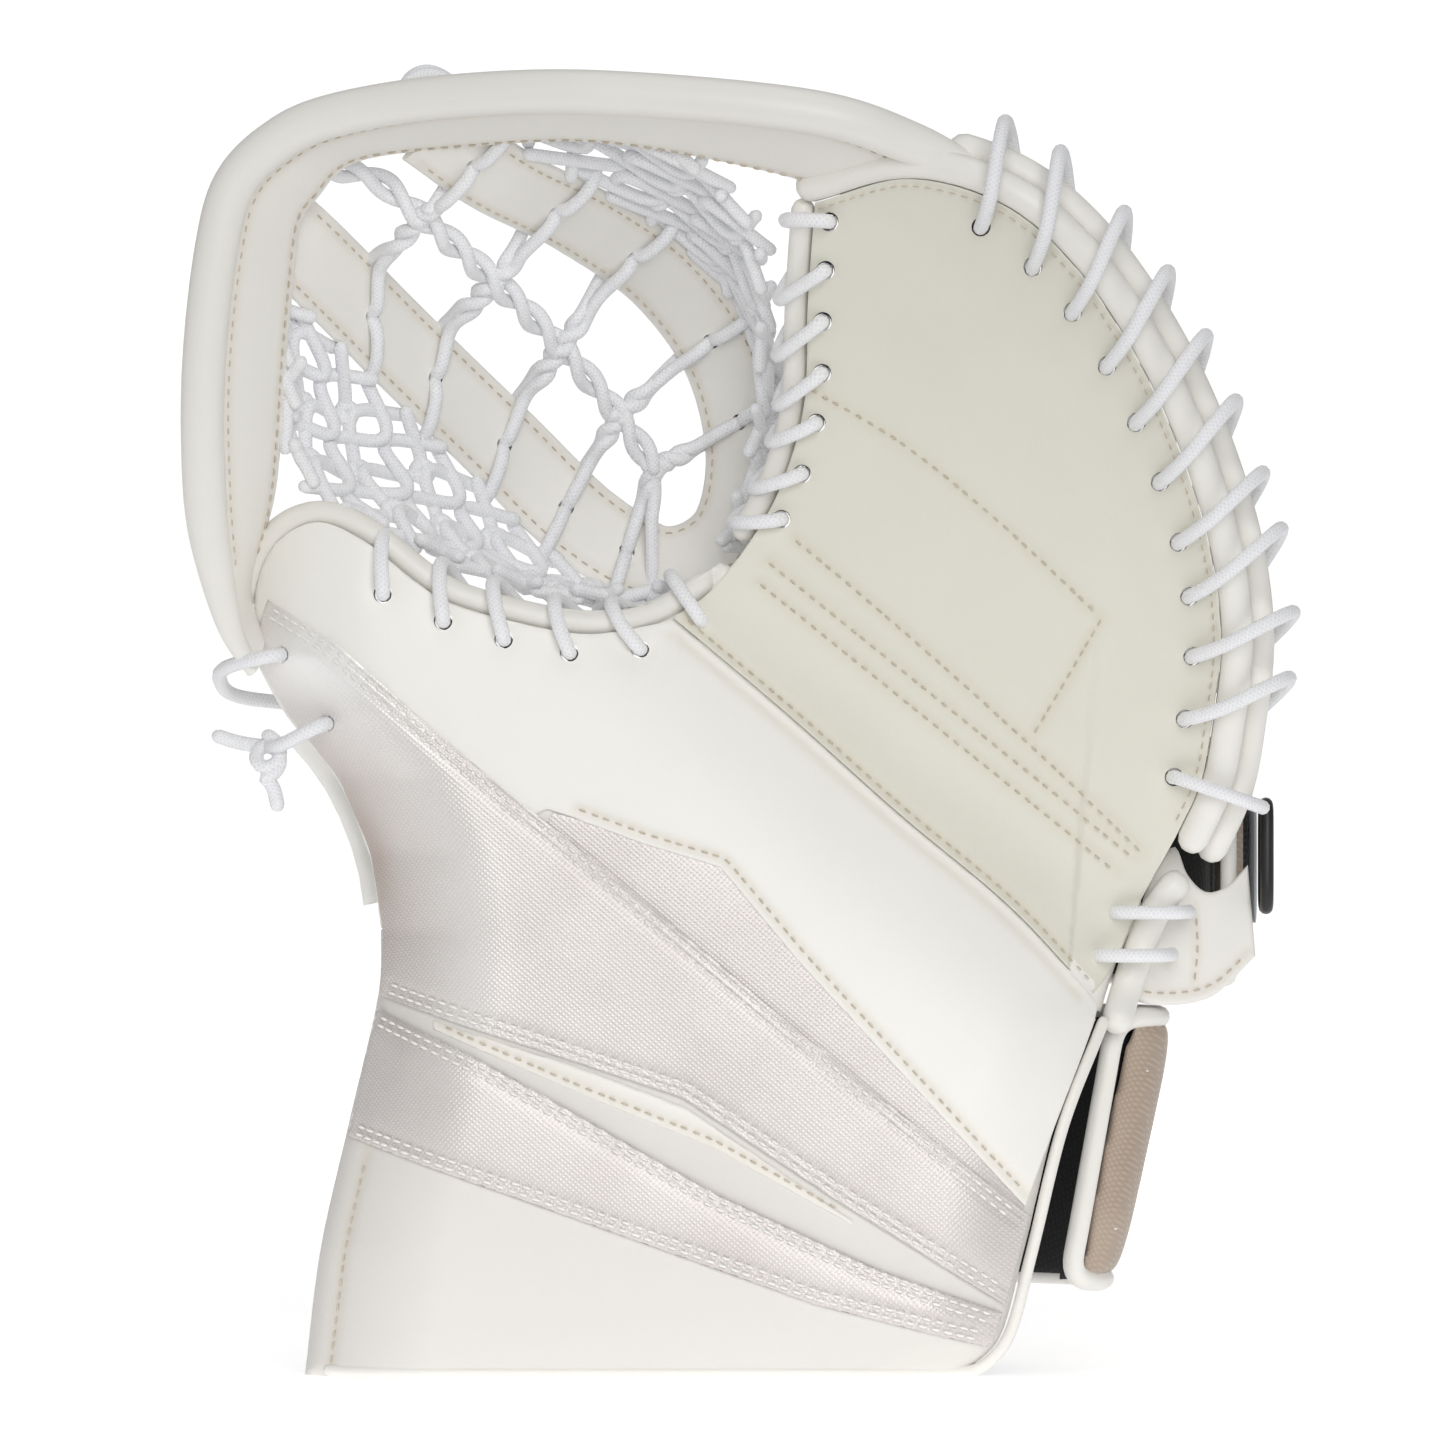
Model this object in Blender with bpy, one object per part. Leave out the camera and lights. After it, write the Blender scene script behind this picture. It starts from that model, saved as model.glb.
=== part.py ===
# Goalie catch glove: palm, cuff, thumb, fingers, laced pocket, hand shells and straps.
#
# Metres, +Z up. The glove stands on the flat bottom edge of its cuff, the catching face looks
# along -Y and the forearm leaves downwards. Outlines are (x, z) places in the face, and
# palm_depth gives the y of the catching face at each of them.

import math

import bmesh
import bpy
import numpy as np
from mathutils import Matrix, Vector

# ---------------------------------------------------------------- driving dimensions
CUFF_FACE_Y = -0.012  # the flat front of the cuff and the thumb
FLOOR_POCKET = 0.008  # y of the break at the pocket
FLOOR_HEEL = 0.018  # y of the break at the heel
THUMB_FADE = 0.045  # how quickly the thumb side rises out of the break
FINGER_RISE = 0.110  # how far the finger rim comes forward of the break
FINGER_REACH = 0.150  # break to finger rim, across the break
LEFT_CURL = 0.024  # how far the left edge curls back
LEFT_CURL_REACH = 0.040
RIGHT_CURL = 0.010
RIGHT_CURL_REACH = 0.030
PAD = 0.012  # leather and foam of every palm panel
BOARD = 0.0022  # plastic stiffeners
LINING = 0.0075
SHELL = 0.006  # padded backs of the thumb and the fingers
HAND_THICKNESS = 0.040  # room for the hand behind the palm
GAP = 0.0004  # between pieces that touch
LACE = 0.0025  # radius
HOLE = 0.0040  # radius of a lace hole
HOLE_INSET = 0.0085  # edge of a palm panel to its lace holes

BREAK_POCKET = (-0.003, 0.256)
BREAK_HEEL = (0.126, 0.152)
FOLD_HEEL = (0.126, 0.010, 0.152)  # a place on the fold's axis
POCKET_CENTRE = Vector((-0.060, -0.060, 0.320))

CUFF_LEFT = [(-0.136, 0.0), (-0.131, 0.040), (-0.122, 0.080), (-0.113, 0.119), (-0.112, 0.140)]
CUFF_RIGHT = [(0.068, 0.0), (0.082, 0.012), (0.090, 0.040), (0.100, 0.080), (0.113, 0.112)]
CUFF_SEAM = [(-0.112, 0.140), (-0.030, 0.150), (0.060, 0.134), (0.113, 0.112)]
HEEL_RIGHT = [(0.1145, 0.1135), (0.120, 0.130), (0.1275, 0.1495)]
THUMB_LEFT = [(-0.112, 0.140), (-0.116, 0.165), (-0.126, 0.188), (-0.142, 0.208), (-0.152, 0.226)]
THUMB_TOP = [(-0.152, 0.226), (-0.148, 0.248), (-0.132, 0.258), (-0.110, 0.252), (-0.090, 0.243),
             (-0.070, 0.237), (-0.047, 0.233), (-0.026, 0.236), (-0.009, 0.246)]
FINGER_POCKET = [(0.004, 0.262), (0.014, 0.280), (0.021, 0.305), (0.022, 0.336), (0.024, 0.366)]
FINGER_RIM = [(0.024, 0.366), (0.052, 0.372), (0.080, 0.364), (0.101, 0.347), (0.119, 0.323),
              (0.134, 0.295), (0.146, 0.262), (0.151, 0.232), (0.149, 0.205)]
FINGER_HEEL = [(0.132, 0.159), (0.139, 0.171), (0.146, 0.187), (0.149, 0.205)]

RIM_TOP_FRONT = [(0.062, -0.106, 0.394), (0.022, -0.098, 0.400), (-0.043, -0.080, 0.402),
                 (-0.090, -0.064, 0.401), (-0.128, -0.053, 0.3955)]
RIM_TOP_BACK = [(0.040, -0.080, 0.392), (0.004, -0.062, 0.388), (-0.043, -0.042, 0.385),
                (-0.090, -0.030, 0.384), (-0.119, -0.024, 0.380)]
RIM_LEFT_FRONT = [(-0.166, -0.042, 0.352), (-0.170, -0.036, 0.320), (-0.170, -0.028, 0.290),
                  (-0.168, -0.020, 0.262), (-0.160, -0.012, 0.236)]
RIM_LEFT_BACK = [(-0.138, -0.012, 0.350), (-0.141, -0.006, 0.320), (-0.143, 0.000, 0.295),
                 (-0.146, 0.006, 0.274), (-0.156, 0.013, 0.252)]
RIM_CORNER_FRONT = [(-0.165, -0.043, 0.357), (-0.160, -0.045, 0.372), (-0.147, -0.048, 0.386)]
RIM_CORNER_BACK = [(-0.137, -0.013, 0.354), (-0.136, -0.014, 0.362), (-0.131, -0.017, 0.369)]
RIM_THICKNESS = 0.012

STRAP_ROUTE = [(-0.1315, 0.001, 0.3495), (-0.105, 0.030, 0.323), (-0.075, 0.050, 0.294),
               (-0.048, 0.056, 0.269), (-0.025, 0.056, 0.257), (-0.007, 0.054, 0.266),
               (-0.001, 0.052, 0.290), (-0.007, 0.048, 0.318), (-0.024, 0.034, 0.343),
               (-0.048, 0.010, 0.361), (-0.073, -0.018, 0.373)]
STRAP_WIDTH = 0.026
STRAP_THICKNESS = 0.004
NET = 0.0042  # strand thickness of the laced nets


# ---------------------------------------------------------------- places on the glove
def unit_break():
    dx, dz = BREAK_HEEL[0] - BREAK_POCKET[0], BREAK_HEEL[1] - BREAK_POCKET[1]
    length = math.hypot(dx, dz)
    return dx / length, dz / length, length


def along_break(x, z):
    """(along, across) of a place, from the break's pocket end; across is + on the finger side."""
    ux, uz, _ = unit_break()
    rx, rz = x - BREAK_POCKET[0], z - BREAK_POCKET[1]
    return rx * ux + rz * uz, rz * ux - rx * uz


def on_break(along, across):
    """(x, z) of a place given along and across the break."""
    ux, uz, _ = unit_break()
    return BREAK_POCKET[0] + along * ux - across * uz, BREAK_POCKET[1] + along * uz + across * ux


def edge_x(outline, z):
    """x of a mostly upright outline at height z."""
    return float(np.interp(z, [p[1] for p in outline], [p[0] for p in outline]))


def palm_depth(x, z):
    """y of the catching face: a flat cuff and thumb, a valley at the break, a finger bowl."""
    along, across = along_break(x, z)
    share = min(max(along / unit_break()[2], -0.3), 1.1)
    floor = FLOOR_POCKET + (FLOOR_HEEL - FLOOR_POCKET) * share
    if across >= 0:
        return floor - FINGER_RISE * (across / FINGER_REACH) ** 2
    y = CUFF_FACE_Y + (floor - CUFF_FACE_Y) * math.exp(-((across / THUMB_FADE) ** 2))
    inset = x - edge_x(CUFF_LEFT + THUMB_LEFT[1:], z)
    y += LEFT_CURL * max(0.0, 1 - inset / LEFT_CURL_REACH) ** 2
    if z < BREAK_HEEL[1]:
        inset = edge_x(CUFF_RIGHT, z) - x
        fade = min(1.0, (BREAK_HEEL[1] - z) / 0.030)
        y += fade * RIGHT_CURL * max(0.0, 1 - inset / RIGHT_CURL_REACH) ** 2
    return y


def smooth(points, count):
    """count points evenly spaced on a smooth curve through the given ones."""
    p = np.array(points, float)
    p = np.vstack([2 * p[0] - p[1], p, 2 * p[-1] - p[-2]])
    fine = []
    for a, b, c, d in zip(p[:-3], p[1:-2], p[2:-1], p[3:]):
        for t in np.linspace(0, 1, 24, endpoint=False):
            bend = (2 * a - 5 * b + 4 * c - d) * t**2 + (3 * b - a - 3 * c + d) * t**3
            fine.append(0.5 * (2 * b + (c - a) * t + bend))
    fine = np.array(fine + [p[-2]])
    run = np.concatenate([[0], np.cumsum(np.linalg.norm(np.diff(fine, axis=0), axis=1))])
    at = np.linspace(0, run[-1], count)
    return np.stack([np.interp(at, run, fine[:, k]) for k in range(fine.shape[1])], axis=1)


def straight(a, b, count):
    return np.linspace(np.array(a, float), np.array(b, float), count)


def patch(bottom, top, left, right):
    """A grid of points filling four boundary curves (a Coons patch); rows run bottom to top."""
    u = np.linspace(0, 1, len(bottom))[None, :, None]
    v = np.linspace(0, 1, len(left))[:, None, None]
    ruled = (1 - v) * bottom[None] + v * top[None] + (1 - u) * left[:, None] + u * right[:, None]
    low = (1 - u) * bottom[0] + u * bottom[-1]
    high = (1 - u) * top[0] + u * top[-1]
    return ruled - (1 - v) * low - v * high


# ---------------------------------------------------------------- materials
def material(name, colour, roughness, metallic=0.0):
    found = bpy.data.materials.get(name)
    if found:
        return found
    made = bpy.data.materials.new(name)
    made.use_nodes = True
    shader = made.node_tree.nodes["Principled BSDF"]
    shader.inputs["Base Color"].default_value = (*colour, 1.0)
    shader.inputs["Roughness"].default_value = roughness
    shader.inputs["Metallic"].default_value = metallic
    return made


def leather():
    return material("white_leather", (0.87, 0.86, 0.82), 0.45)


def palm_leather():
    return material("palm_leather", (0.80, 0.80, 0.74), 0.5)


def satin():
    return material("satin_weave", (0.74, 0.70, 0.68), 0.35)


def white_lace():
    return material("nylon_lace", (0.88, 0.89, 0.92), 0.6)


def black_lining():
    return material("black_lining", (0.02, 0.02, 0.02), 0.8)


def webbing():
    return material("black_webbing", (0.03, 0.03, 0.035), 0.7)


def black_plastic():
    return material("black_plastic", (0.02, 0.02, 0.022), 0.35)


def board_plastic():
    return material("stiffener_board", (0.62, 0.64, 0.67), 0.4)


def taupe():
    return material("taupe_nylon", (0.46, 0.37, 0.30), 0.6)


# ---------------------------------------------------------------- solids
def link(name, data, finish, joint=None):
    """Adds the object; with a joint (a place), its origin moves there and its shape stays put."""
    obj = bpy.data.objects.new(name, data)
    bpy.context.scene.collection.objects.link(obj)
    data.materials.append(finish)
    if joint is not None:
        data.transform(Matrix.Translation(-Vector(joint)))
        obj.location = joint
    return obj


def mesh_object(name, bm, finish, joint=None):
    bmesh.ops.recalc_face_normals(bm, faces=bm.faces)
    mesh = bpy.data.meshes.new(name)
    bm.to_mesh(mesh)
    bm.free()
    mesh.shade_smooth()
    mesh.set_sharp_from_angle(angle=math.radians(40))
    return link(name, mesh, finish, joint)


def closed_grid(bm, front, back):
    """A closed solid between two grids of points with the same rows and columns."""
    rows, columns = front.shape[:2]
    a = [[bm.verts.new(front[r, c]) for c in range(columns)] for r in range(rows)]
    b = [[bm.verts.new(back[r, c]) for c in range(columns)] for r in range(rows)]
    for r in range(rows - 1):
        for c in range(columns - 1):
            bm.faces.new((a[r][c], a[r][c + 1], a[r + 1][c + 1], a[r + 1][c]))
            bm.faces.new((b[r][c], b[r + 1][c], b[r + 1][c + 1], b[r][c + 1]))
    border = [(0, c) for c in range(columns)] + [(r, columns - 1) for r in range(1, rows)]
    border += [(rows - 1, c) for c in range(columns - 2, -1, -1)]
    border += [(r, 0) for r in range(rows - 2, 0, -1)]
    for (r1, c1), (r2, c2) in zip(border, border[1:] + border[:1]):
        bm.faces.new((a[r1][c1], b[r1][c1], b[r2][c2], a[r2][c2]))


def panel(name, grid, start, thickness, finish, depth=palm_depth, joint=None):
    """A panel over an (x, z) grid, from start behind the depth surface to thickness further."""
    front = np.array([[(x, depth(x, z) + start, z) for x, z in row] for row in grid])
    back = front + np.array((0, thickness, 0))
    bm = bmesh.new()
    closed_grid(bm, front, back)
    return mesh_object(name, bm, finish, joint)


def domed(name, grid, start, rise, dome, thickness, finish):
    """A padded back over an (x, z) grid; dome(u, v) says how much of the rise a place takes."""
    rows, columns = grid.shape[:2]
    front = np.zeros((rows, columns, 3))
    for r in range(rows):
        for c in range(columns):
            x, z = grid[r, c]
            lift = start + rise * dome(c / (columns - 1), r / (rows - 1))
            front[r, c] = (x, palm_depth(x, z) + lift, z)
    bm = bmesh.new()
    closed_grid(bm, front, front + np.array((0, thickness, 0)))
    return mesh_object(name, bm, finish)


def ribbon_edges(route, width, count, centre=POCKET_CENTRE):
    """The two edges and the facing normals of a flat strap whose face looks at centre."""
    line = smooth(route, count)
    run = np.gradient(line, axis=0)
    face = np.array(centre) - line
    side = np.cross(run, face)
    side /= np.linalg.norm(side, axis=1)[:, None]
    normal = np.cross(side, run)
    normal /= np.linalg.norm(normal, axis=1)[:, None]
    return line - side * width / 2, line + side * width / 2, normal


def ribbon(name, left, right, normal, thickness, finish, joint=None):
    """A strap between two edges, thickened both ways along its normals."""
    middle = np.stack([left, right], axis=1)
    offset = normal[:, None, :] * thickness / 2
    bm = bmesh.new()
    closed_grid(bm, middle + offset, middle - offset)
    return mesh_object(name, bm, finish, joint)


def net(name, grid, finish):
    """A laced net: the grid's edges as struts."""
    bm = bmesh.new()
    rows, columns = grid.shape[:2]
    verts = [[bm.verts.new(grid[r, c]) for c in range(columns)] for r in range(rows)]
    for r in range(rows - 1):
        for c in range(columns - 1):
            bm.faces.new((verts[r][c], verts[r][c + 1], verts[r + 1][c + 1], verts[r + 1][c]))
    obj = mesh_object(name, bm, finish)
    laces = obj.modifiers.new("laces", "WIREFRAME")
    laces.thickness = NET
    laces.use_boundary = True
    laces.use_even_offset = False
    laces.offset = 0.0
    return obj


def tube(name, points, radius, finish, joint=None):
    """A round cord or roll along points, with closed ends."""
    data = bpy.data.curves.new(name, "CURVE")
    data.dimensions = "3D"
    data.bevel_depth = radius
    data.bevel_resolution = 2
    data.use_fill_caps = True
    spline = data.splines.new("POLY")
    spline.points.add(len(points) - 1)
    for target, place in zip(spline.points, points):
        target.co = (*place, 1.0)
    return link(name, data, finish, joint)


def band(name, front, back, thickness, finish, count):
    """A padded rim between a front and a back edge, with rounded edges."""
    a, b = smooth(front, count), smooth(back, count)
    run = np.gradient((a + b) / 2, axis=0)
    bm = bmesh.new()
    rings = []
    for i in range(count):
        centre, half = (a[i] + b[i]) / 2, (b[i] - a[i]) / 2
        reach = np.linalg.norm(half) - thickness / 2
        wide = half / np.linalg.norm(half)
        normal = np.cross(run[i], wide)
        normal /= np.linalg.norm(normal)
        ring = []
        for step in range(8):
            angle = math.radians(45 * step + 22.5)
            out = math.copysign(reach, math.cos(angle)) + math.cos(angle) * thickness / 2
            place = centre + wide * out + normal * math.sin(angle) * thickness / 2
            ring.append(bm.verts.new(place))
        rings.append(ring)
    bm.faces.new(rings[0])
    for lower, upper in zip(rings, rings[1:]):
        for k in range(8):
            bm.faces.new((lower[k], lower[(k + 1) % 8], upper[(k + 1) % 8], upper[k]))
    bm.faces.new(rings[-1][::-1])
    return mesh_object(name, bm, finish)


def drill(obj, places):
    """Cuts lace holes straight through along Y at the given (x, z) places."""
    bm = bmesh.new()
    for x, z in places:
        turned = Matrix.Translation((x, palm_depth(x, z), z)) @ Matrix.Rotation(math.pi / 2, 4, "X")
        bmesh.ops.create_cone(bm, cap_ends=True, segments=8, radius1=HOLE, radius2=HOLE,
                              depth=0.09, matrix=turned)
    cutter = mesh_object(obj.name + "_holes", bm, leather())
    cutter.hide_render = True
    cutter.display_type = "WIRE"
    cut = obj.modifiers.new("lace_holes", "BOOLEAN")
    cut.object = cutter
    cut.operation = "DIFFERENCE"


# ---------------------------------------------------------------- lace routes
def edge_places(outline, count, inset, first=0.0, last=1.0):
    """(hole, outward) pairs along an outline, each hole moved inwards; outward is left of travel."""
    line = smooth(outline, 97)
    found = []
    for share in np.linspace(first, last, count):
        i = int(round(share * 96))
        run = line[min(i + 1, 96)] - line[max(i - 1, 0)]
        run /= np.linalg.norm(run)
        outward = np.array((-run[1], run[0]))
        found.append((line[i] - outward * inset, outward))
    return found


def lace_round(places, loops):
    """A lace through every hole and round the rolls outside the edge.

    loops lists (outward from the edge, behind the face, share of the way to the next hole).
    """
    points = []
    for n, (hole, outward) in enumerate(places):
        last = n == len(places) - 1
        following, next_out = places[n] if last else places[n + 1]
        for out, behind, share in loops:
            if last and share > 0:
                break
            place = hole * (1 - share) + following * share
            way = outward * (1 - share) + next_out * share
            x, z = place + way * (HOLE_INSET + out)
            face = place + way * (HOLE_INSET + min(out, 0.0))
            points.append((x, palm_depth(*face) + behind, z))
    return points


# ---------------------------------------------------------------- cuff
def cuff_grid(count=17):
    return patch(straight(CUFF_LEFT[0], CUFF_RIGHT[0], count), smooth(CUFF_SEAM, count),
                 smooth(CUFF_LEFT, 9), smooth(CUFF_RIGHT, 9))


def cuff():
    grid = cuff_grid()
    panel("cuff_face_pad", grid, 0.0, PAD, leather())
    panel("cuff_board", grid, PAD + GAP, BOARD, board_plastic())
    panel("cuff_lining", grid, PAD + BOARD + 2 * GAP, LINING, black_lining())


OVERLAY_CLEAR = 0.0016  # a facet of the pad stands this far off its curve


def overlay(name, lower, upper, finish, lift, clear=OVERLAY_CLEAR):
    """A sewn panel lying on the cuff's face between a lower and an upper edge."""
    low, high = smooth(lower, 13), smooth(upper, 13)
    grid = patch(low, high, straight(low[0], high[0], 4), straight(low[-1], high[-1], 4))
    return panel(name, grid, -clear - lift, lift, finish)


def cuff_overlays():
    overlay("cuff_lower_band", [(-0.114, 0.076), (-0.021, 0.040), (0.068, 0.0075)],
            [(-0.110, 0.114), (-0.053, 0.085), (-0.006, 0.0585), (0.080, 0.0215)], satin(), 0.0026)
    overlay("cuff_upper_band", [(-0.106, 0.121), (-0.060, 0.1055), (-0.017, 0.090), (0.082, 0.026)],
            [(-0.106, 0.1385), (-0.050, 0.146), (0.000, 0.119), (0.087, 0.055)], satin(), 0.0026)
    overlay("cuff_crease_strip", [(-0.100, 0.1145), (-0.050, 0.0905), (0.036, 0.0445)],
            [(-0.100, 0.1160), (-0.050, 0.0985), (0.036, 0.0505)], leather(), 0.0018)
    piping = [(x, palm_depth(x - o[0] * 0.003, z) + 0.003, z)
              for (x, z), o in edge_places(CUFF_RIGHT[::-1], 14, -0.0028, 0.0, 0.93)]
    tube("cuff_piping", piping, 0.0018, leather())


# ---------------------------------------------------------------- thumb
def thumb_grid():
    bottom = smooth(CUFF_SEAM[:-1] + [HEEL_RIGHT[0]], 15) + np.array((0, 0.0007))
    top = smooth(THUMB_TOP, 15)
    break_line = [on_break(along, -0.0010) for along in (0.150, 0.110, 0.070, 0.035, 0.0)]
    right = smooth([tuple(bottom[-1])] + HEEL_RIGHT[1:] + break_line + [tuple(top[-1])], 11)
    return patch(bottom, top, smooth([tuple(bottom[0])] + THUMB_LEFT[1:], 11), right)


THUMB_CORNER_HOLES = [(-0.1430, 0.2265), (-0.1285, 0.2050)]


def thumb_holes():
    return edge_places(THUMB_TOP[3:], 6, HOLE_INSET, 0.02, 0.90)


def thumb():
    grid = thumb_grid()
    palm = panel("thumb_palm_pad", grid, 0.0, PAD, leather())
    drill(palm, [tuple(hole) for hole, _ in thumb_holes()] + THUMB_CORNER_HOLES)
    satin_panel = overlay("thumb_satin_panel", [(-0.109, 0.1440), (-0.080, 0.1490), (-0.040, 0.1535)],
                          [(-0.144, 0.2330), (-0.122, 0.2230), (-0.060, 0.1740)], satin(), 0.0026,
                          2 * OVERLAY_CLEAR)
    drill(satin_panel, THUMB_CORNER_HOLES)
    inner = grid[1:-3, 1:-2]
    panel("thumb_board", inner, PAD + GAP, BOARD, board_plastic())
    back = grid[1:-3, :8] - np.array((0.005, 0.003))
    shell = domed("thumb_back_shell", back, PAD + BOARD + 4 * GAP, HAND_THICKNESS, thumb_dome,
                  SHELL, leather())
    drill(shell, THUMB_CORNER_HOLES)
    domed("thumb_stall", back[2:-1, 2:], PAD + BOARD + 0.0032, HAND_THICKNESS - 0.014,
          thumb_dome, 0.002, black_lining())
    panel("palm_liner", grid[2:-3, 9:-2], PAD + BOARD + 2 * GAP, 0.0018, black_lining())
    across = (-0.009, -0.004, 0.001, 0.006)
    strip = np.array([[on_break(along, a) for along in np.linspace(0.008, 0.128, 12)]
                      for a in across])
    panel("break_gusset", strip, PAD + 2 * GAP, 0.0014, leather())


def thumb_dome(u, v):
    """Closed at the left and at the pocket, open towards the wrist and the palm."""
    return (1 - v**3) * (1 - (1 - u) ** 3)


def thumb_corner_lace():
    """The lace that ties the rim, the thumb and its back together at the lower left, and its end."""
    (x1, z1), (x2, z2) = THUMB_CORNER_HOLES
    y1, y2 = palm_depth(x1, z1), palm_depth(x2, z2)
    route = [(x1 + 0.004, y1 + 0.044, z1 - 0.004), (x1, y1 + 0.024, z1), (x1, y1 - 0.004, z1),
             (x1 - 0.007, y1 - 0.006, z1 - 0.001), (x1 - 0.0175, y1 + 0.003, z1 - 0.004),
             (x1 - 0.0200, y1 + 0.020, z1 - 0.008), (x1 - 0.0150, y1 + 0.038, z1 - 0.013),
             (x2 - 0.004, y2 + 0.047, z2 + 0.005), (x2, y2 + 0.034, z2), (x2, y2 + 0.010, z2),
             (x2, y2 - 0.005, z2), (x2 - 0.005, y2 - 0.009, z2 - 0.002),
             (x2 - 0.015, y2 - 0.004, z2 - 0.007), (x2 - 0.021, y2 + 0.006, z2 - 0.007),
             (x2 - 0.028, y2 + 0.004, z2 - 0.006), (x2 - 0.034, y2 + 0.001, z2 - 0.004)]
    tube("thumb_corner_lace", smooth(route, 40), LACE, white_lace())


def thumb_edge():
    """The roll along the pocket edge of the thumb, and the lace that wraps it."""
    places = edge_places(THUMB_TOP[3:], 25, 0.0)
    roll = [(x + o[0] * 0.0062, palm_depth(x, z) + 0.004, z + o[1] * 0.0062)
            for (x, z), o in places]
    tube("thumb_edge_roll", roll, 0.0042, leather())
    loops = [(-HOLE_INSET, PAD + 0.005, 0), (-HOLE_INSET, -0.0045, 0), (0.001, -0.0065, 0.05),
             (0.0125, 0.000, 0.15), (0.0135, 0.011, 0.35), (0.002, PAD + 0.0065, 0.75)]
    tube("thumb_edge_lace", lace_round(thumb_holes(), loops), LACE, white_lace())


# ---------------------------------------------------------------- fingers
def finger_grid():
    edge = on_break(0.006, 0.0012), on_break(0.1600, 0.0012)
    left = smooth([edge[0]] + FINGER_POCKET[1:], 10)
    right = smooth([edge[1]] + FINGER_HEEL[1:], 10)
    return patch(straight(*edge, 14), smooth(FINGER_RIM, 14), left, right)


def finger_rim_holes():
    rim = FINGER_RIM[2:] + FINGER_HEEL[-2:0:-1]
    return edge_places(rim, 11, HOLE_INSET, 0.0, 0.93)


def finger_pocket_holes():
    return edge_places(FINGER_POCKET, 7, HOLE_INSET, 0.10, 0.92)


def fingers():
    grid = finger_grid()
    palm = panel("finger_palm_pad", grid, 0.0, PAD, palm_leather())
    holes = [tuple(hole) for hole, _ in finger_rim_holes() + finger_pocket_holes()]
    drill(palm, holes)
    inner = grid[1:-2, 2:-3]
    panel("finger_board", inner, PAD + GAP, BOARD, board_plastic())
    domed("finger_back_shell", inner, PAD + BOARD + 2 * GAP, HAND_THICKNESS, finger_dome, SHELL,
          leather())
    panel("finger_liner", inner[:-2, 2:-2], PAD + BOARD + 2 * GAP, 0.0018, black_lining())
    finger_stalls(inner, finger_dome)


def finger_dome(u, v):
    """Closed at the rim and at both sides, open at the break, where the fingers go in."""
    return (1 - v**2.5) * (1 - abs(2 * u - 1) ** 4)


def finger_stalls(grid, dome):
    """Three walls between the four fingers, from the board to just short of the back shell."""
    rows, columns = grid.shape[:2]
    for number, column in enumerate((2, 4, 6), start=1):
        front, back = [], []
        for r in range(rows - 3):
            x, z = grid[r, column]
            nx, nz = grid[r, column + 1] - grid[r, column]
            step = 0.0016 / math.hypot(nx, nz)
            low = palm_depth(x, z) + PAD + BOARD + 2 * GAP + 0.0030
            high = low + HAND_THICKNESS * dome(column / (columns - 1), r / (rows - 1)) - 0.0060
            front.append([(x, low, z), (x + nx * step, low, z + nz * step)])
            back.append([(x, high, z), (x + nx * step, high, z + nz * step)])
        bm = bmesh.new()
        closed_grid(bm, np.array(front), np.array(back))
        mesh_object(f"finger_divider_{number}", bm, black_lining())


def finger_edges():
    """The two rolls round the outside of the fingers, the roll at the pocket and their laces."""
    rim = FINGER_RIM + FINGER_HEEL[-2:0:-1]
    outside = edge_places(rim, 40, 0.0)
    front = [(x + o[0] * 0.0058, palm_depth(x, z) + 0.002, z + o[1] * 0.0058)
             for (x, z), o in outside]
    tube("finger_front_roll", front, 0.0046, leather())
    back = [(x + o[0] * 0.0085, palm_depth(x, z) + 0.0125, z + o[1] * 0.0085)
            for (x, z), o in outside[7:]]
    tube("finger_back_roll", back, 0.0046, leather())
    loops = [(-HOLE_INSET, PAD + 0.005, 0), (-HOLE_INSET, -0.0055, 0), (0.002, -0.0085, 0.12),
             (0.0115, -0.0070, 0.24), (0.0180, 0.001, 0.34), (0.0195, 0.012, 0.44),
             (0.0150, 0.0220, 0.54), (0.0060, 0.0270, 0.66), (-0.003, PAD + 0.010, 0.84)]
    tube("finger_edge_lace", lace_round(finger_rim_holes(), loops), LACE, white_lace())
    inside = edge_places(FINGER_POCKET, 16, 0.0, 0.08, 0.95)
    roll = [(x + o[0] * 0.0056, palm_depth(x, z) + 0.004, z + o[1] * 0.0056)
            for (x, z), o in inside]
    tube("finger_pocket_roll", roll, 0.0042, leather())
    loops = [(-HOLE_INSET, PAD + 0.005, 0), (-HOLE_INSET, -0.0055, 0), (0.001, -0.0085, 0.10),
             (0.0135, -0.0020, 0.25), (0.0155, 0.011, 0.50), (0.002, PAD + 0.0080, 0.80)]
    tube("finger_pocket_lace", lace_round(finger_pocket_holes(), loops), LACE, white_lace())


# ---------------------------------------------------------------- rim and pocket
def rims():
    band("rim_top", RIM_TOP_FRONT, RIM_TOP_BACK, RIM_THICKNESS, leather(), 12)
    band("rim_left", RIM_LEFT_FRONT, RIM_LEFT_BACK, RIM_THICKNESS, leather(), 10)
    band("rim_corner", RIM_CORNER_FRONT, RIM_CORNER_BACK, RIM_THICKNESS, leather(), 4)


def ruled(a, b, rows, sag, clear_a, clear_b):
    """A grid between two edges, clear of both, that bellies away from the pocket's centre."""
    grid = np.zeros((rows, len(a), 3))
    span = np.linalg.norm(b - a, axis=1)[:, None]
    for r in range(rows):
        share = r / (rows - 1)
        t = clear_a / span + (1 - (clear_a + clear_b) / span) * share
        line = a * (1 - t) + b * t
        away = line - np.array(POCKET_CENTRE)
        away /= np.linalg.norm(away, axis=1)[:, None]
        grid[r] = line + away * sag * math.sin(math.pi * share)
    return grid


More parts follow.
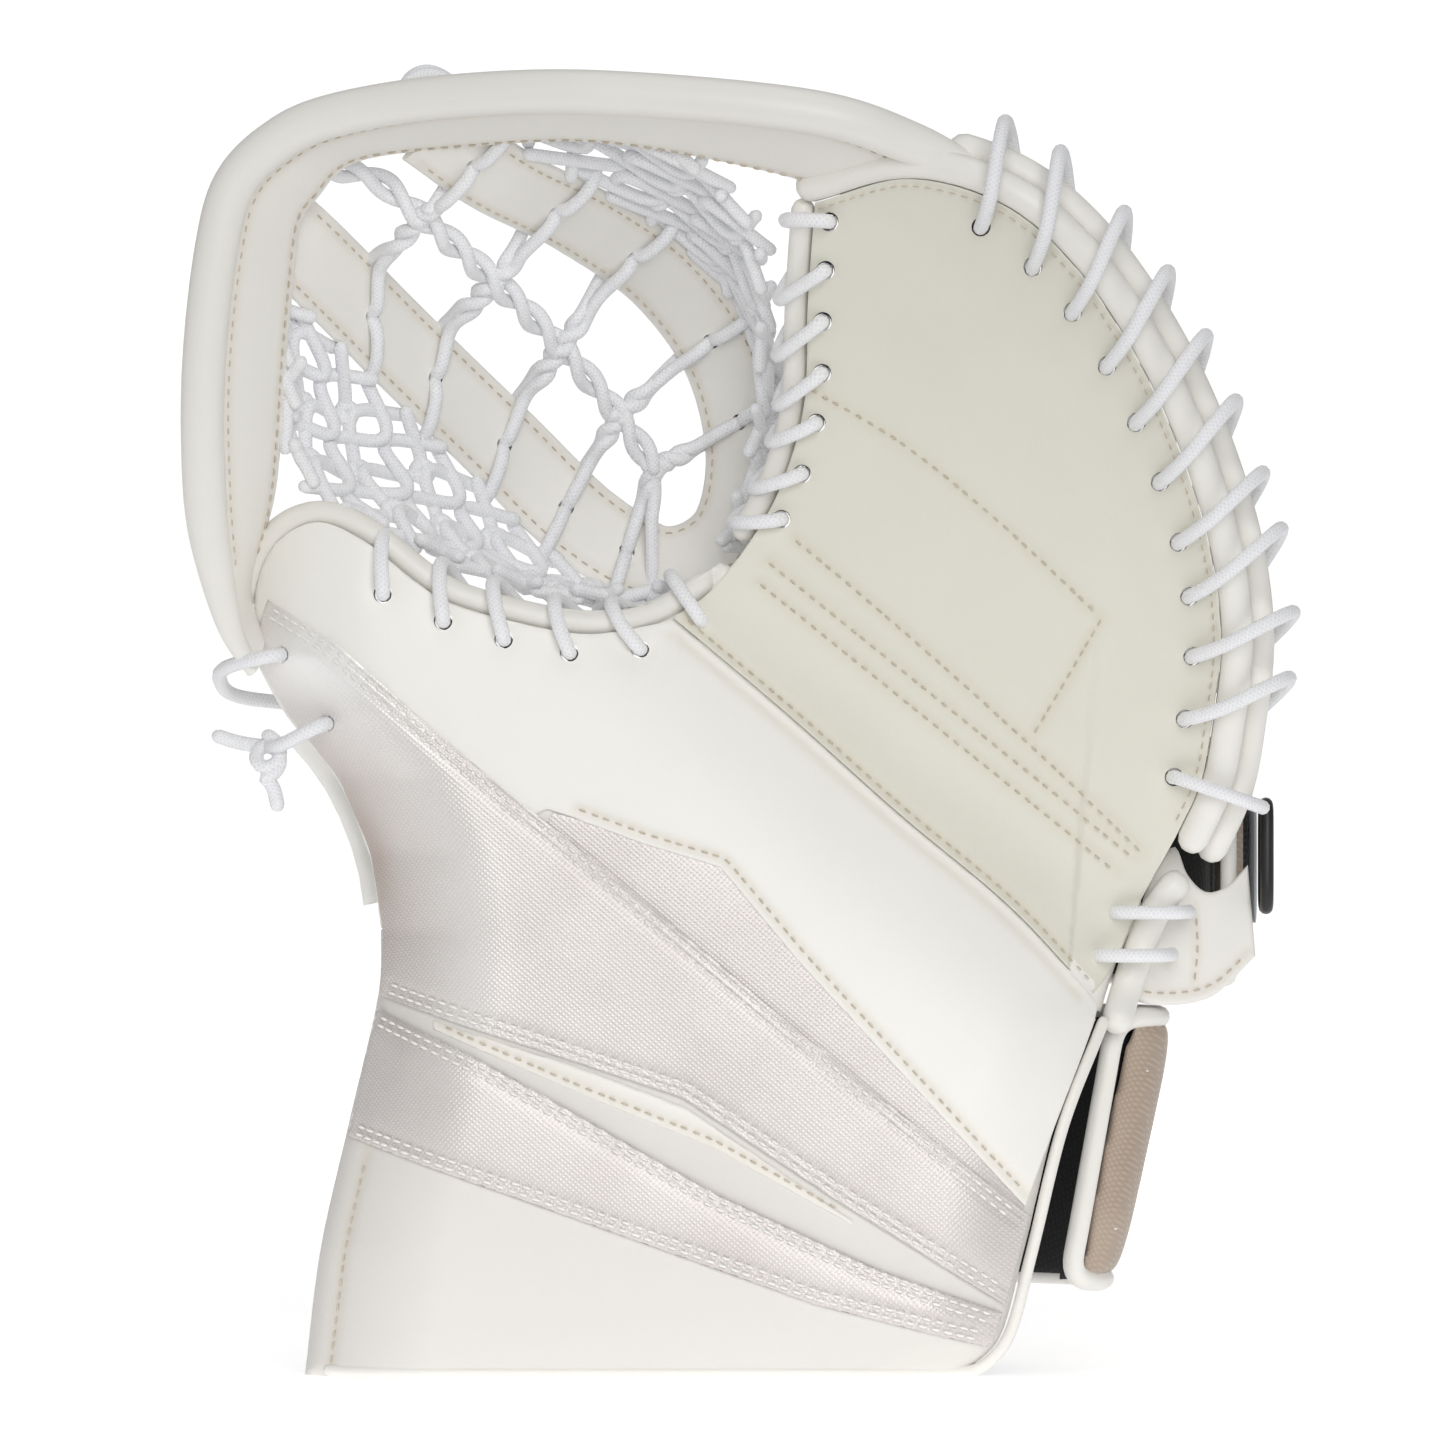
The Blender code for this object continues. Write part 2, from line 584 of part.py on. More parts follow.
def pocket():
    left, right, normal = ribbon_edges(STRAP_ROUTE, STRAP_WIDTH, 24)
    outer, inner = (left, right) if left[12][2] < right[12][2] else (right, left)
    ribbon("tee_strap", left, right, normal, STRAP_THICKNESS, leather())
    arm_a, arm_b = inner[1:10], inner[22:13:-1]
    net("slot_net", ruled(arm_a, arm_b, 5, 0.003, 0.0035, 0.0035), white_lace())
    thumb_side = smooth([(-0.128, -0.002, 0.276), (-0.108, 0.001, 0.268), (-0.082, 0.006, 0.256),
                         (-0.052, 0.014, 0.249), (-0.026, 0.022, 0.246)], 8)
    net("thumb_net", ruled(thumb_side, outer[2:10], 4, 0.004, 0.002, 0.0060), white_lace())
    finger_side = smooth([(-0.003, 0.036, 0.268), (0.003, 0.030, 0.288), (0.007, 0.020, 0.312),
                          (0.008, 0.003, 0.336), (0.007, -0.016, 0.357)], 8)
    net("finger_net", ruled(finger_side, outer[13:21], 4, 0.003, 0.002, 0.0070), white_lace())
    knot = smooth([(-0.108, -0.033, 0.398), (-0.098, -0.026, 0.407), (-0.088, -0.022, 0.404),
                   (-0.094, -0.016, 0.398), (-0.104, -0.018, 0.403), (-0.096, -0.013, 0.409),
                   (-0.084, -0.014, 0.401)], 24)
    tube("rim_knot", knot, LACE, white_lace())


# ---------------------------------------------------------------- wrist and back of the hand
def around(centre, radii, start, end, count, heights):
    """Points round an upright oval at each height: radii are (x bottom, x top, y)."""
    grid = np.zeros((len(heights), count, 3))
    for r, z in enumerate(heights):
        t = r / (len(heights) - 1)
        rx = radii[0] * (1 - t) + radii[1] * t
        for c, angle in enumerate(np.radians(np.linspace(start, end, count))):
            grid[r, c] = (centre[0] + rx * math.cos(angle), centre[1] + radii[2] * math.sin(angle), z)
    return grid


def wrapped(name, centre, radii, span, heights, thickness, finish, joint=None, count=14):
    """A pad that wraps round an upright oval."""
    inner = around(centre, radii, *span, count, heights)
    outer = around(centre, [r + thickness for r in radii], *span, count, heights)
    bm = bmesh.new()
    closed_grid(bm, inner, outer)
    return mesh_object(name, bm, finish, joint)


WRIST = (0.045, 0.052)  # middle of the oval round the wrist
WRIST_RADII = (0.064, 0.082, 0.036)  # sideways at the bottom, sideways at the top, backwards
WRIST_SPAN = (-30, 160)
WRIST_LINING = 0.003
WRIST_PAD = 0.009
WRIST_HEIGHTS = (0.028, 0.056, 0.084, 0.112)
WRIST_HINGE = (-0.033, 0.062, 0.072)
WRIST_PIPING = 0.0034
HAND = (0.068, 0.055)  # middle of the oval round the back of the hand
HAND_RADII = (0.082, 0.082, 0.038)
HAND_SPAN = (-4, 140)
HAND_HEIGHTS = (0.124, 0.160, 0.196)
HAND_LINING = 0.0025
HAND_PAD = 0.008
TAB = 0.003  # leather tabs and the wing


def wrist():
    wrapped("wrist_pad_lining", WRIST, WRIST_RADII, WRIST_SPAN, WRIST_HEIGHTS, WRIST_LINING,
            black_lining(), WRIST_HINGE)
    shell = [r + WRIST_LINING + GAP for r in WRIST_RADII]
    wrapped("wrist_pad", WRIST, shell, WRIST_SPAN, WRIST_HEIGHTS, WRIST_PAD, taupe(), WRIST_HINGE)
    middle = [r + WRIST_PAD / 2 for r in shell]
    front = WRIST_SPAN[0] - 4
    edge = around(WRIST, middle, front, front, 1, np.linspace(0.030, 0.110, 8))[:, 0]
    tube("wrist_pad_piping", edge, WRIST_PIPING, leather(), WRIST_HINGE)
    tab = straight((-0.048, 0.0125, 0.072), (-0.040, 0.058, 0.072), 6)
    side = np.array([(0, 0, 0.026)] * 6)
    run = tab[-1] - tab[0]
    normal = np.cross(run, (0, 0, 1.0)) / np.linalg.norm(run)
    ribbon("wrist_pad_tab", tab - side, tab + side, np.array([normal] * 6), TAB, leather())


def hand_back():
    wrapped("hand_pad_lining", HAND, HAND_RADII, HAND_SPAN, HAND_HEIGHTS, HAND_LINING,
            black_lining())
    shell = [r + HAND_LINING + GAP for r in HAND_RADII]
    wrapped("hand_pad", HAND, shell, HAND_SPAN, HAND_HEIGHTS, HAND_PAD, taupe())
    tab = [(0.015, 0.0215, 0.168), (0.014, 0.048, 0.168), (0.010, 0.076, 0.168)]
    line = smooth(tab, 6)
    side = np.array([(0, 0, 0.018)] * 6)
    normal = np.array([(1.0, -0.2, 0)] * 6) / math.hypot(1.0, 0.2)
    ribbon("hand_pad_tab", line - side, line + side, normal, TAB, leather())


STRAP_HINGE = (0.0225, 0.1005, 0.161)
STRAP_HEIGHTS = (0.141, 0.181)
STRAP = 0.0026
STRAP_CLEAR = 0.0008  # strap to pad
KEEPER = (0.168, 0.044, 0.163)  # middle of the ring
KEEPER_RADII = (0.010, 0.017)
KEEPER_WIRE = 0.0017


def straps():
    radii = [r + HAND_LINING + GAP + HAND_PAD + STRAP_CLEAR for r in HAND_RADII]
    wrapped("hand_strap", HAND, radii, (5, 118), STRAP_HEIGHTS, STRAP, webbing(), STRAP_HINGE)
    outer = [r + STRAP + GAP for r in radii]
    wrapped("strap_pull_tab", HAND, outer, (4, 26), STRAP_HEIGHTS, 0.0022, board_plastic(),
            STRAP_HINGE, count=5)
    wrapped("strap_anchor", HAND, radii, (121, 137), (0.138, 0.184), 0.004, leather(), count=4)
    ring = []
    for angle in np.radians(np.linspace(0, 350, 15)):
        ring.append((KEEPER[0], KEEPER[1] + KEEPER_RADII[0] * math.cos(angle),
                     KEEPER[2] + KEEPER_RADII[1] * math.sin(angle)))
    hinge = (KEEPER[0], KEEPER[1] - KEEPER_RADII[0], KEEPER[2])
    tube("strap_keeper", ring, KEEPER_WIRE, black_plastic(), hinge)


# ---------------------------------------------------------------- wing at the heel
def wing_depth(x, z):
    return 0.034 + 0.4 * max(0.0, x - 0.130)


def heel_line(count):
    """Places just outside the heel, from the cuff's corner up to the finger rolls."""
    return edge_places((HEEL_RIGHT + [(0.1335, 0.1575)])[::-1], count, 0.0)


def wing():
    low = smooth([(0.119, 0.121), (0.131, 0.116), (0.150, 0.118), (0.165, 0.131)], 8)
    high = smooth([(0.131, 0.1545), (0.142, 0.160), (0.150, 0.150), (0.162, 0.158)], 8)
    grid = patch(low, high, straight(low[0], high[0], 4), straight(low[-1], high[-1], 4))
    panel("wing_flap", grid, 0.0, TAB, leather(), wing_depth)
    roll = [(x + o[0] * 0.0058, palm_depth(x, z) + 0.003, z + o[1] * 0.0058)
            for (x, z), o in heel_line(8)]
    tube("heel_roll", roll, 0.0046, leather())
    for name, z, first in (("upper", 0.1455, 0.1200), ("lower", 0.1320, 0.1145)):
        face = palm_depth(first, z)
        route = [(first, face - 0.0032, z), (first + 0.006, face - 0.0060, z),
                 (first + 0.0125, face - 0.0072, z), (first + 0.0195, face - 0.0040, z),
                 (first + 0.0215, face + 0.0040, z), (first + 0.0225, face + 0.0110, z)]
        tube(f"wing_lace_{name}", smooth(route, 9), LACE, white_lace())


# ---------------------------------------------------------------- build
def hang_fingers():
    """Everything that the fold carries hangs on one empty on the fold's axis."""
    axis = bpy.data.objects.new("fold_axis", None)
    axis.location = FOLD_HEEL
    bpy.context.scene.collection.objects.link(axis)
    carried = [obj for obj in bpy.data.objects if obj.name.startswith("finger_")]
    carried += [bpy.data.objects["rim_top"], bpy.data.objects["rim_knot"]]
    for obj in carried:
        obj.parent = axis
        obj.matrix_parent_inverse = Matrix.Translation(FOLD_HEEL).inverted()


def main():
    for obj in list(bpy.data.objects):
        bpy.data.objects.remove(obj)
    cuff()
    cuff_overlays()
    thumb()
    thumb_edge()
    thumb_corner_lace()
    fingers()
    finger_edges()
    rims()
    pocket()
    wrist()
    hand_back()
    straps()
    wing()
    hang_fingers()


main()
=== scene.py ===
# Goalie catch glove: padded leather palm, satin cuff panels, laced rim and pocket, straps and pads.
# Everything is in metres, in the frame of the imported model, +Z up, the catching face towards -Y.
import math
import bpy
import numpy as np
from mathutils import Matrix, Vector


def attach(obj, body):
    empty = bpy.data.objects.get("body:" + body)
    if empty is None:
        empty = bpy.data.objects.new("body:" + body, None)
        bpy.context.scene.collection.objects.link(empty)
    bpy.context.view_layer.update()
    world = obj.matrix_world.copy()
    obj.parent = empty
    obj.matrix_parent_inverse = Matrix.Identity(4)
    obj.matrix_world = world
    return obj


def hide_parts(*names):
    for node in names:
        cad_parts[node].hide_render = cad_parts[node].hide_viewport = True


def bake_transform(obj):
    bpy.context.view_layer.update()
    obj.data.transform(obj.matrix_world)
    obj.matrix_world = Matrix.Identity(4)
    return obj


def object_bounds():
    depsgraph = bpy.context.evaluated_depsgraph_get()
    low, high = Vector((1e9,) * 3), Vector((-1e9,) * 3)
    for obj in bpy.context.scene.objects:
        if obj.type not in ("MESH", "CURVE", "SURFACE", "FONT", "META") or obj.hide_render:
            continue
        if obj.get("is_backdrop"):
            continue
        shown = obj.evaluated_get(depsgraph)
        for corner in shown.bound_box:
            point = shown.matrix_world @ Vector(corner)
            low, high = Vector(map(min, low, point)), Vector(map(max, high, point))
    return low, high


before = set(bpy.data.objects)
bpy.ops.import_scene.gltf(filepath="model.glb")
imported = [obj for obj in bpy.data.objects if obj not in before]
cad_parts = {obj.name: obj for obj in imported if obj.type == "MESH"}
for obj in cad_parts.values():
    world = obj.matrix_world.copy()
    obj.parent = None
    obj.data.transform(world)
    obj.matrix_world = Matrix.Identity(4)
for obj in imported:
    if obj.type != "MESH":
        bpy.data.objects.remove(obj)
cadLow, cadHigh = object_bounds()
for leftover in bpy.context.selected_objects:
    leftover.select_set(False)

# the palm's own shape, as the model's source has it
palm = {
    "cuffFace": -0.012, "floorPocket": 0.008, "floorHeel": 0.018, "thumbFade": 0.045,
    "fingerRise": 0.110, "fingerReach": 0.150, "leftCurl": 0.024, "leftReach": 0.040,
    "rightCurl": 0.010, "rightReach": 0.030, "pad": 0.012, "board": 0.0022,
    "handRoom": 0.040, "shell": 0.006,
    "holeInset": 0.0085, "nearInset": 0.0062, "pocketInset": 0.0048, "lace": 0.0023,
    "breakPocket": (-0.003, 0.256), "breakHeel": (0.126, 0.152),
    "pocketCentre": (-0.060, -0.060, 0.320),
}
cuffLeft = [(-0.136, 0.0), (-0.131, 0.040), (-0.122, 0.080), (-0.113, 0.119), (-0.112, 0.140)]
cuffRight = [(0.068, 0.0), (0.082, 0.012), (0.090, 0.040), (0.100, 0.080), (0.113, 0.112)]
cuffSeam = [(-0.112, 0.140), (-0.030, 0.150), (0.060, 0.134), (0.113, 0.112)]
heelRight = [(0.1145, 0.1135), (0.120, 0.130), (0.1275, 0.1495)]
thumbLeft = [(-0.112, 0.140), (-0.116, 0.165), (-0.126, 0.188), (-0.142, 0.208), (-0.152, 0.226)]
thumbTop = [(-0.152, 0.226), (-0.148, 0.248), (-0.132, 0.258), (-0.110, 0.252), (-0.090, 0.243),
            (-0.070, 0.237), (-0.047, 0.233), (-0.026, 0.236), (-0.009, 0.246)]
fingerPocket = [(0.004, 0.262), (0.014, 0.280), (0.021, 0.305), (0.022, 0.336), (0.024, 0.366)]
fingerRim = [(0.024, 0.366), (0.052, 0.372), (0.080, 0.364), (0.101, 0.347), (0.119, 0.323),
             (0.134, 0.295), (0.146, 0.262), (0.151, 0.232), (0.149, 0.205)]
fingerHeel = [(0.132, 0.159), (0.139, 0.171), (0.146, 0.187), (0.149, 0.205)]


# ---- places on the palm
def alongBreak(x, z):
    dx, dz = np.subtract(palm["breakHeel"], palm["breakPocket"])
    run = math.hypot(dx, dz)
    rx, rz = x - palm["breakPocket"][0], z - palm["breakPocket"][1]
    return (rx * dx + rz * dz) / run, (rz * dx - rx * dz) / run, run


def onBreak(along, across):  # (x, z) of a place; across is + on the finger side
    dx, dz = np.subtract(palm["breakHeel"], palm["breakPocket"])
    run = math.hypot(dx, dz)
    return (palm["breakPocket"][0] + (along * dx - across * dz) / run,
            palm["breakPocket"][1] + (along * dz + across * dx) / run)


def edgeX(outline, z):
    return np.interp(z, [p[1] for p in outline], [p[0] for p in outline])


def palmDepth(x, z):  # y of the catching face
    x, z = np.asarray(x, float), np.asarray(z, float)
    along, across, run = alongBreak(x, z)
    share = np.clip(along / run, -0.3, 1.1)
    floor = palm["floorPocket"] + (palm["floorHeel"] - palm["floorPocket"]) * share
    fingers = floor - palm["fingerRise"] * (across / palm["fingerReach"]) ** 2
    thumb = palm["cuffFace"] + (floor - palm["cuffFace"]) * np.exp(-((across / palm["thumbFade"]) ** 2))
    inset = x - edgeX(cuffLeft + thumbLeft[1:], z)
    thumb += palm["leftCurl"] * np.maximum(0.0, 1 - inset / palm["leftReach"]) ** 2
    inset = edgeX(cuffRight, z) - x
    fade = np.clip((palm["breakHeel"][1] - z) / 0.030, 0.0, 1.0)
    thumb += fade * palm["rightCurl"] * np.maximum(0.0, 1 - inset / palm["rightReach"]) ** 2
    return np.where(across >= 0, fingers, thumb)


def resample(fine, shares):  # points at these shares of a fine polyline's length
    fine = np.asarray(fine, float)
    run = np.concatenate([[0], np.cumsum(np.linalg.norm(np.diff(fine, axis=0), axis=1))])
    at = np.asarray(shares) * run[-1]
    return np.stack([np.interp(at, run, fine[:, k]) for k in range(fine.shape[1])], axis=1)


def bendThrough(points):  # a fine smooth polyline through the points
    p = np.array(points, float)
    p = np.vstack([2 * p[0] - p[1], p, 2 * p[-1] - p[-2]])
    fine = []
    for a, b, c, d in zip(p[:-3], p[1:-2], p[2:-1], p[3:]):
        for t in np.linspace(0, 1, 24, endpoint=False):
            bend = (2 * a - 5 * b + 4 * c - d) * t**2 + (3 * b - a - 3 * c + d) * t**3
            fine.append(0.5 * (2 * b + (c - a) * t + bend))
    return np.array(fine + [p[-2]])


def smoothCurve(points, count):
    return resample(bendThrough(points), np.linspace(0, 1, count))


def smoothRun(points, step):  # a smooth curve with a point every step metres
    fine = bendThrough(points)
    length = np.linalg.norm(np.diff(fine, axis=0), axis=1).sum()
    return resample(fine, np.linspace(0, 1, max(4, int(length / step) + 1)))


def fillPatch(bottom, top, left, right, across, up):  # a Coons patch at shares across and up
    bottom, top, left, right = (resample(c, s) for c, s in
                                ((bottom, across), (top, across), (left, up), (right, up)))
    u, v = np.asarray(across)[None, :, None], np.asarray(up)[:, None, None]
    ruled = (1 - v) * bottom[None] + v * top[None] + (1 - u) * left[:, None] + u * right[:, None]
    low, high = (1 - u) * bottom[0] + u * bottom[-1], (1 - u) * top[0] + u * top[-1]
    return ruled - (1 - v) * low - v * high


def onFace(places, lift=0.0):  # (x, z) places onto the catching face, lift towards the camera side
    places = np.asarray(places, float)
    return np.stack([places[:, 0], palmDepth(places[:, 0], places[:, 1]) - lift, places[:, 1]], axis=1)


def edgePlaces(outline, count, inset, first=0.0, last=1.0):  # (place, outward) along an outline
    line = smoothCurve(outline, 97)
    found = []
    for share in np.linspace(first, last, count):
        i = int(round(share * 96))
        run = line[min(i + 1, 96)] - line[max(i - 1, 0)]
        run /= np.linalg.norm(run)
        outward = np.array((-run[1], run[0]))
        found.append((line[i] - outward * inset, outward))
    return found


def insetCurve(outline, inset, count=80, first=0.0, last=1.0):
    return np.array([place for place, outward in edgePlaces(outline, count, inset, first, last)])


# ---- materials
def toLinear(code):  # sRGB hex to linear
    parts = [int(code[i:i + 2], 16) / 255 for i in (1, 3, 5)]
    return (*[c / 12.92 if c <= 0.04045 else ((c + 0.055) / 1.055) ** 2.4 for c in parts], 1.0)


def addNode(tree, kind, values=None, links=None, **settings):
    node = tree.nodes.new(kind)
    for name, value in settings.items():
        setattr(node, name, value)
    for socket, value in (values or {}).items():
        node.inputs[socket].default_value = value
    for socket, source in (links or {}).items():
        tree.links.new(source, node.inputs[socket])
    return node


def newFinish(name, **sockets):
    made = bpy.data.materials.new(name)
    made.use_nodes = True
    shader = made.node_tree.nodes["Principled BSDF"]
    for socket, value in sockets.items():
        shader.inputs[socket.replace("_", " ")].default_value = value
    return made, made.node_tree, shader


def tint(tree, shader, factor, dark, light):  # base colour between two hex colours
    mix = addNode(tree, "ShaderNodeMix", {6: toLinear(dark), 7: toLinear(light)}, {0: factor},
                  data_type="RGBA")
    tree.links.new(mix.outputs[2], shader.inputs["Base Color"])
    return mix


def bumpFrom(tree, shader, height, strength, distance):
    bump = addNode(tree, "ShaderNodeBump", {"Strength": strength, "Distance": distance}, {"Height": height})
    tree.links.new(bump.outputs["Normal"], shader.inputs["Normal"])


def leatherFinish(name, light, shade, seamShadeColour, roughness=0.46):
    # coated synthetic leather over foam: even, softly glossy, a fine pressed grain, with a painted shade,
    # darker and warmer, along its seams
    made, tree, shader = newFinish(name, Roughness=roughness, IOR=1.48, Coat_Weight=0.08, Coat_Roughness=0.35)
    place = addNode(tree, "ShaderNodeTexCoord").outputs["Object"]
    cloud = addNode(tree, "ShaderNodeTexNoise", {"Scale": 22, "Detail": 3}, {"Vector": place})
    mix = tint(tree, shader, cloud.outputs["Fac"], shade, light)
    # painted shade along the seams, mixed in by the seam attribute
    seam = addNode(tree, "ShaderNodeAttribute", attribute_name="seam")
    seamShaded = addNode(tree, "ShaderNodeMix", {7: toLinear(seamShadeColour)}, {0: seam.outputs["Fac"], 6: mix.outputs[2]},
                   data_type="RGBA")
    tree.links.new(seamShaded.outputs[2], shader.inputs["Base Color"])
    grain = addNode(tree, "ShaderNodeTexVoronoi", {"Scale": 1 / 0.0011}, {"Vector": place})  # 1.1 mm pebbles
    soft = addNode(tree, "ShaderNodeTexNoise", {"Scale": 1 / 0.012, "Detail": 2}, {"Vector": place})
    height = addNode(tree, "ShaderNodeMath", {1: 0.25},
                     {0: grain.outputs["Distance"], 2: soft.outputs["Fac"]}, operation="MULTIPLY_ADD")
    bumpFrom(tree, shader, height.outputs[0], 0.22, 0.0006)
    return made


def wovenFinish(name, light, shade, thread, slant, roughness, metallic=0.0, sheen=0.0, depth=0.0003,
                paintedLight=()):
    # woven cloth: threads crossing at right angles, drawn at the given spacing so that the weave shows
    made, tree, shader = newFinish(name, Roughness=roughness, Metallic=metallic, Sheen_Weight=sheen,
                                   Sheen_Roughness=0.4)
    place = addNode(tree, "ShaderNodeTexCoord").outputs["Object"]
    turned = addNode(tree, "ShaderNodeMapping", {"Rotation": (0.5, slant, 0.5)}, {"Vector": place})
    # one wave every 20 / scale units of length / (2 pi)
    scale = 2 * math.pi / (20 * thread)
    warp = addNode(tree, "ShaderNodeTexWave", {"Scale": scale, "Distortion": 0.5, "Detail": 1.0},
                   {"Vector": turned.outputs[0]}, bands_direction="X")
    weft = addNode(tree, "ShaderNodeTexWave", {"Scale": scale, "Distortion": 0.5, "Detail": 1.0},
                   {"Vector": turned.outputs[0]}, bands_direction="Z")
    cross = addNode(tree, "ShaderNodeMath", links={0: warp.outputs["Fac"], 1: weft.outputs["Fac"]},
                    operation="MULTIPLY")
    cloud = addNode(tree, "ShaderNodeTexNoise", {"Scale": 30, "Detail": 2}, {"Vector": place})
    both = addNode(tree, "ShaderNodeMath", {1: 0.55}, {0: cross.outputs[0], 2: cloud.outputs["Fac"]},
                   operation="MULTIPLY_ADD")
    both.use_clamp = True
    mix = tint(tree, shader, both.outputs[0], shade, light)
    for mark, colour in paintedLight:  # painted light: a painted highlight and a painted shade mixed into the base colour by per-point masks
        paintedMask = addNode(tree, "ShaderNodeAttribute", attribute_name=mark)
        mix = addNode(tree, "ShaderNodeMix", {7: toLinear(colour)},
                      {0: paintedMask.outputs["Fac"], 6: mix.outputs[2]}, data_type="RGBA")
        tree.links.new(mix.outputs[2], shader.inputs["Base Color"])
    bumpFrom(tree, shader, cross.outputs[0], 0.35, depth)
    return made


def laceFinish(name, light, shade, turns=6.0):
    # braided nylon cord: a herringbone of bright yarns that runs round and along the cord
    made, tree, shader = newFinish(name, Roughness=0.55, Sheen_Weight=0.25, Sheen_Roughness=0.4)
    way = addNode(tree, "ShaderNodeUVMap", uv_map="run")
    axes = addNode(tree, "ShaderNodeSeparateXYZ", links={0: way.outputs[0]})
    waves = []
    for slope in (1.0, -1.0):
        lean = addNode(tree, "ShaderNodeMath", {1: slope * turns * 0.8}, {0: axes.outputs[1]},
                       operation="MULTIPLY")
        total = addNode(tree, "ShaderNodeMath", {1: turns}, {0: axes.outputs[0], 2: lean.outputs[0]},
                        operation="MULTIPLY_ADD")
        angle = addNode(tree, "ShaderNodeMath", {1: 2 * math.pi}, {0: total.outputs[0]}, operation="MULTIPLY")
        waves.append(addNode(tree, "ShaderNodeMath", links={0: angle.outputs[0]}, operation="SINE"))
    yarn = addNode(tree, "ShaderNodeMath", links={0: waves[0].outputs[0], 1: waves[1].outputs[0]},
                   operation="MAXIMUM")
    level = addNode(tree, "ShaderNodeMath", {1: 0.35, 2: 0.65}, {0: yarn.outputs[0]},
                    operation="MULTIPLY_ADD")
    level.use_clamp = True
    tint(tree, shader, level.outputs[0], shade, light)
    bumpFrom(tree, shader, yarn.outputs[0], 0.35, 0.0003)
    return made


def threadFinish(name, light, shade):
    # bonded sewing thread, its twist too fine to show, so each stitch only varies in shade
    made, tree, shader = newFinish(name, Roughness=0.5, Sheen_Weight=0.2)
    place = addNode(tree, "ShaderNodeTexCoord").outputs["Object"]
    cloud = addNode(tree, "ShaderNodeTexNoise", {"Scale": 1 / 0.003, "Detail": 1}, {"Vector": place})
    tint(tree, shader, cloud.outputs["Fac"], shade, light)
    bumpFrom(tree, shader, cloud.outputs["Fac"], 0.2, 0.0002)
    return made


def mouldedFinish(name, light, shade, roughness, grain):
    # moulded plastic: a dull skin with a fine spark-eroded texture
    made, tree, shader = newFinish(name, Roughness=roughness, IOR=1.5)
    place = addNode(tree, "ShaderNodeTexCoord").outputs["Object"]
    cloud = addNode(tree, "ShaderNodeTexNoise", {"Scale": 40, "Detail": 3}, {"Vector": place})
    tint(tree, shader, cloud.outputs["Fac"], shade, light)
    pits = addNode(tree, "ShaderNodeTexNoise", {"Scale": 1 / grain, "Detail": 2}, {"Vector": place})
    bumpFrom(tree, shader, pits.outputs["Fac"], 0.25, 0.0003)
    return made


# the last colour of each leather is the painted shade along its seams
whiteLeather = leatherFinish("coatedLeatherWhite", "#F7F5F0", "#F2F0EA", "#E2DACB")
cuffLeather = leatherFinish("coatedLeatherCuff", "#E4E1DC", "#DFDCD7", "#D5CCBD")
creamLeather = leatherFinish("coatedLeatherCream", "#E6E4D8", "#E0DED1", "#D9D3BF", 0.5)
rollLeather = leatherFinish("coatedLeatherRoll", "#F3F1EC", "#EDEAE3", "#DDD5C6", 0.44)
# the satin's two extra colours are painted light: a painted highlight (#FBFAF8) and a painted shade (#A8968B)
satinCloth = wovenFinish("wovenSatinPearl", "#DFDAD7", "#C8C1BD", 0.0012, 0.75, 0.40, 0.30, 0.30,
                         paintedLight=(("paintedHighlight", "#FBFAF8"), ("paintedCurlShade", "#A8968B")))
taupeCloth = wovenFinish("wovenNylonTaupe", "#BCAB9B", "#94816F", 0.0013, 0.3, 0.6, 0.0, 0.3)
liningCloth = wovenFinish("knittedLiningBlack", "#2A2A2B", "#101011", 0.0018, 0.0, 0.85, 0.0, 0.2)
strapWeb = wovenFinish("wovenHookLoopBlack", "#303032", "#161617", 0.0015, 0.6, 0.8, 0.0, 0.4, 0.0005)
laceCord = laceFinish("braidedNylonLace", "#F8F8FA", "#E3E5EA")
tanThread = threadFinish("bondedThreadTan", "#D5CBB9", "#BFB29C")
whiteThread = threadFinish("bondedThreadWhite", "#FBFAF8", "#EDEAE6")
# painted shade for the walls of the punched holes
holeShade = threadFinish("paintedHoleShade", "#5A544C", "#34302B")
blackPlastic = mouldedFinish("mouldedNylonBlack", "#242426", "#151516", 0.4, 0.0009)
greyPlastic = mouldedFinish("mouldedPolyGrey", "#C9CDD2", "#B9BEC4", 0.45, 0.0012)
print("materials made")


# ---- building helpers
def selectOnly(piece):
    bpy.ops.object.select_all(action="DESELECT")
    piece.select_set(True)
    bpy.context.view_layer.objects.active = piece


def coordsOf(piece):
    place = np.zeros(len(piece.data.vertices) * 3)
    piece.data.vertices.foreach_get("co", place)
    return place.reshape(-1, 3)


def setCoords(piece, place):
    piece.data.vertices.foreach_set("co", np.asarray(place, np.float32).ravel())
    piece.data.update()


def tidyNormals(piece, angle=50):
    selectOnly(piece)
    bpy.ops.object.mode_set(mode="EDIT")
    bpy.ops.mesh.select_all(action="SELECT")
    bpy.ops.mesh.normals_make_consistent(inside=False)
    bpy.ops.object.mode_set(mode="OBJECT")
    bpy.ops.object.shade_smooth_by_angle(angle=math.radians(angle))


def applyModifier(piece, kind, **settings):
    selectOnly(piece)
    modifier = piece.modifiers.new(kind.lower(), kind)
    for name, value in settings.items():
        setattr(modifier, name, value)
    bpy.ops.object.modifier_apply(modifier=modifier.name)


breakBend = 0.008  # half the width of the palm's break, given to settle as bend, which bends nothing with it


def foldSpan(half, along=0.08):  # the two places between which a piece turns from palm to fingers
    return [(x, 0.0, z) for x, z in (onBreak(along, -half), onBreak(along, half))]


def settle(piece, finish, body=None, stands=(), slot=None, fill=None, bend=None):
    if finish is not None:
        piece.data.materials.clear()
        piece.data.materials.append(finish)
    if bend is not None:
        start, end = foldSpan(bend)
        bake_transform(piece)
        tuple(start)
        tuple(end)
    else:
        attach(piece, body)
    if stands:
        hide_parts(*stands)
    return piece


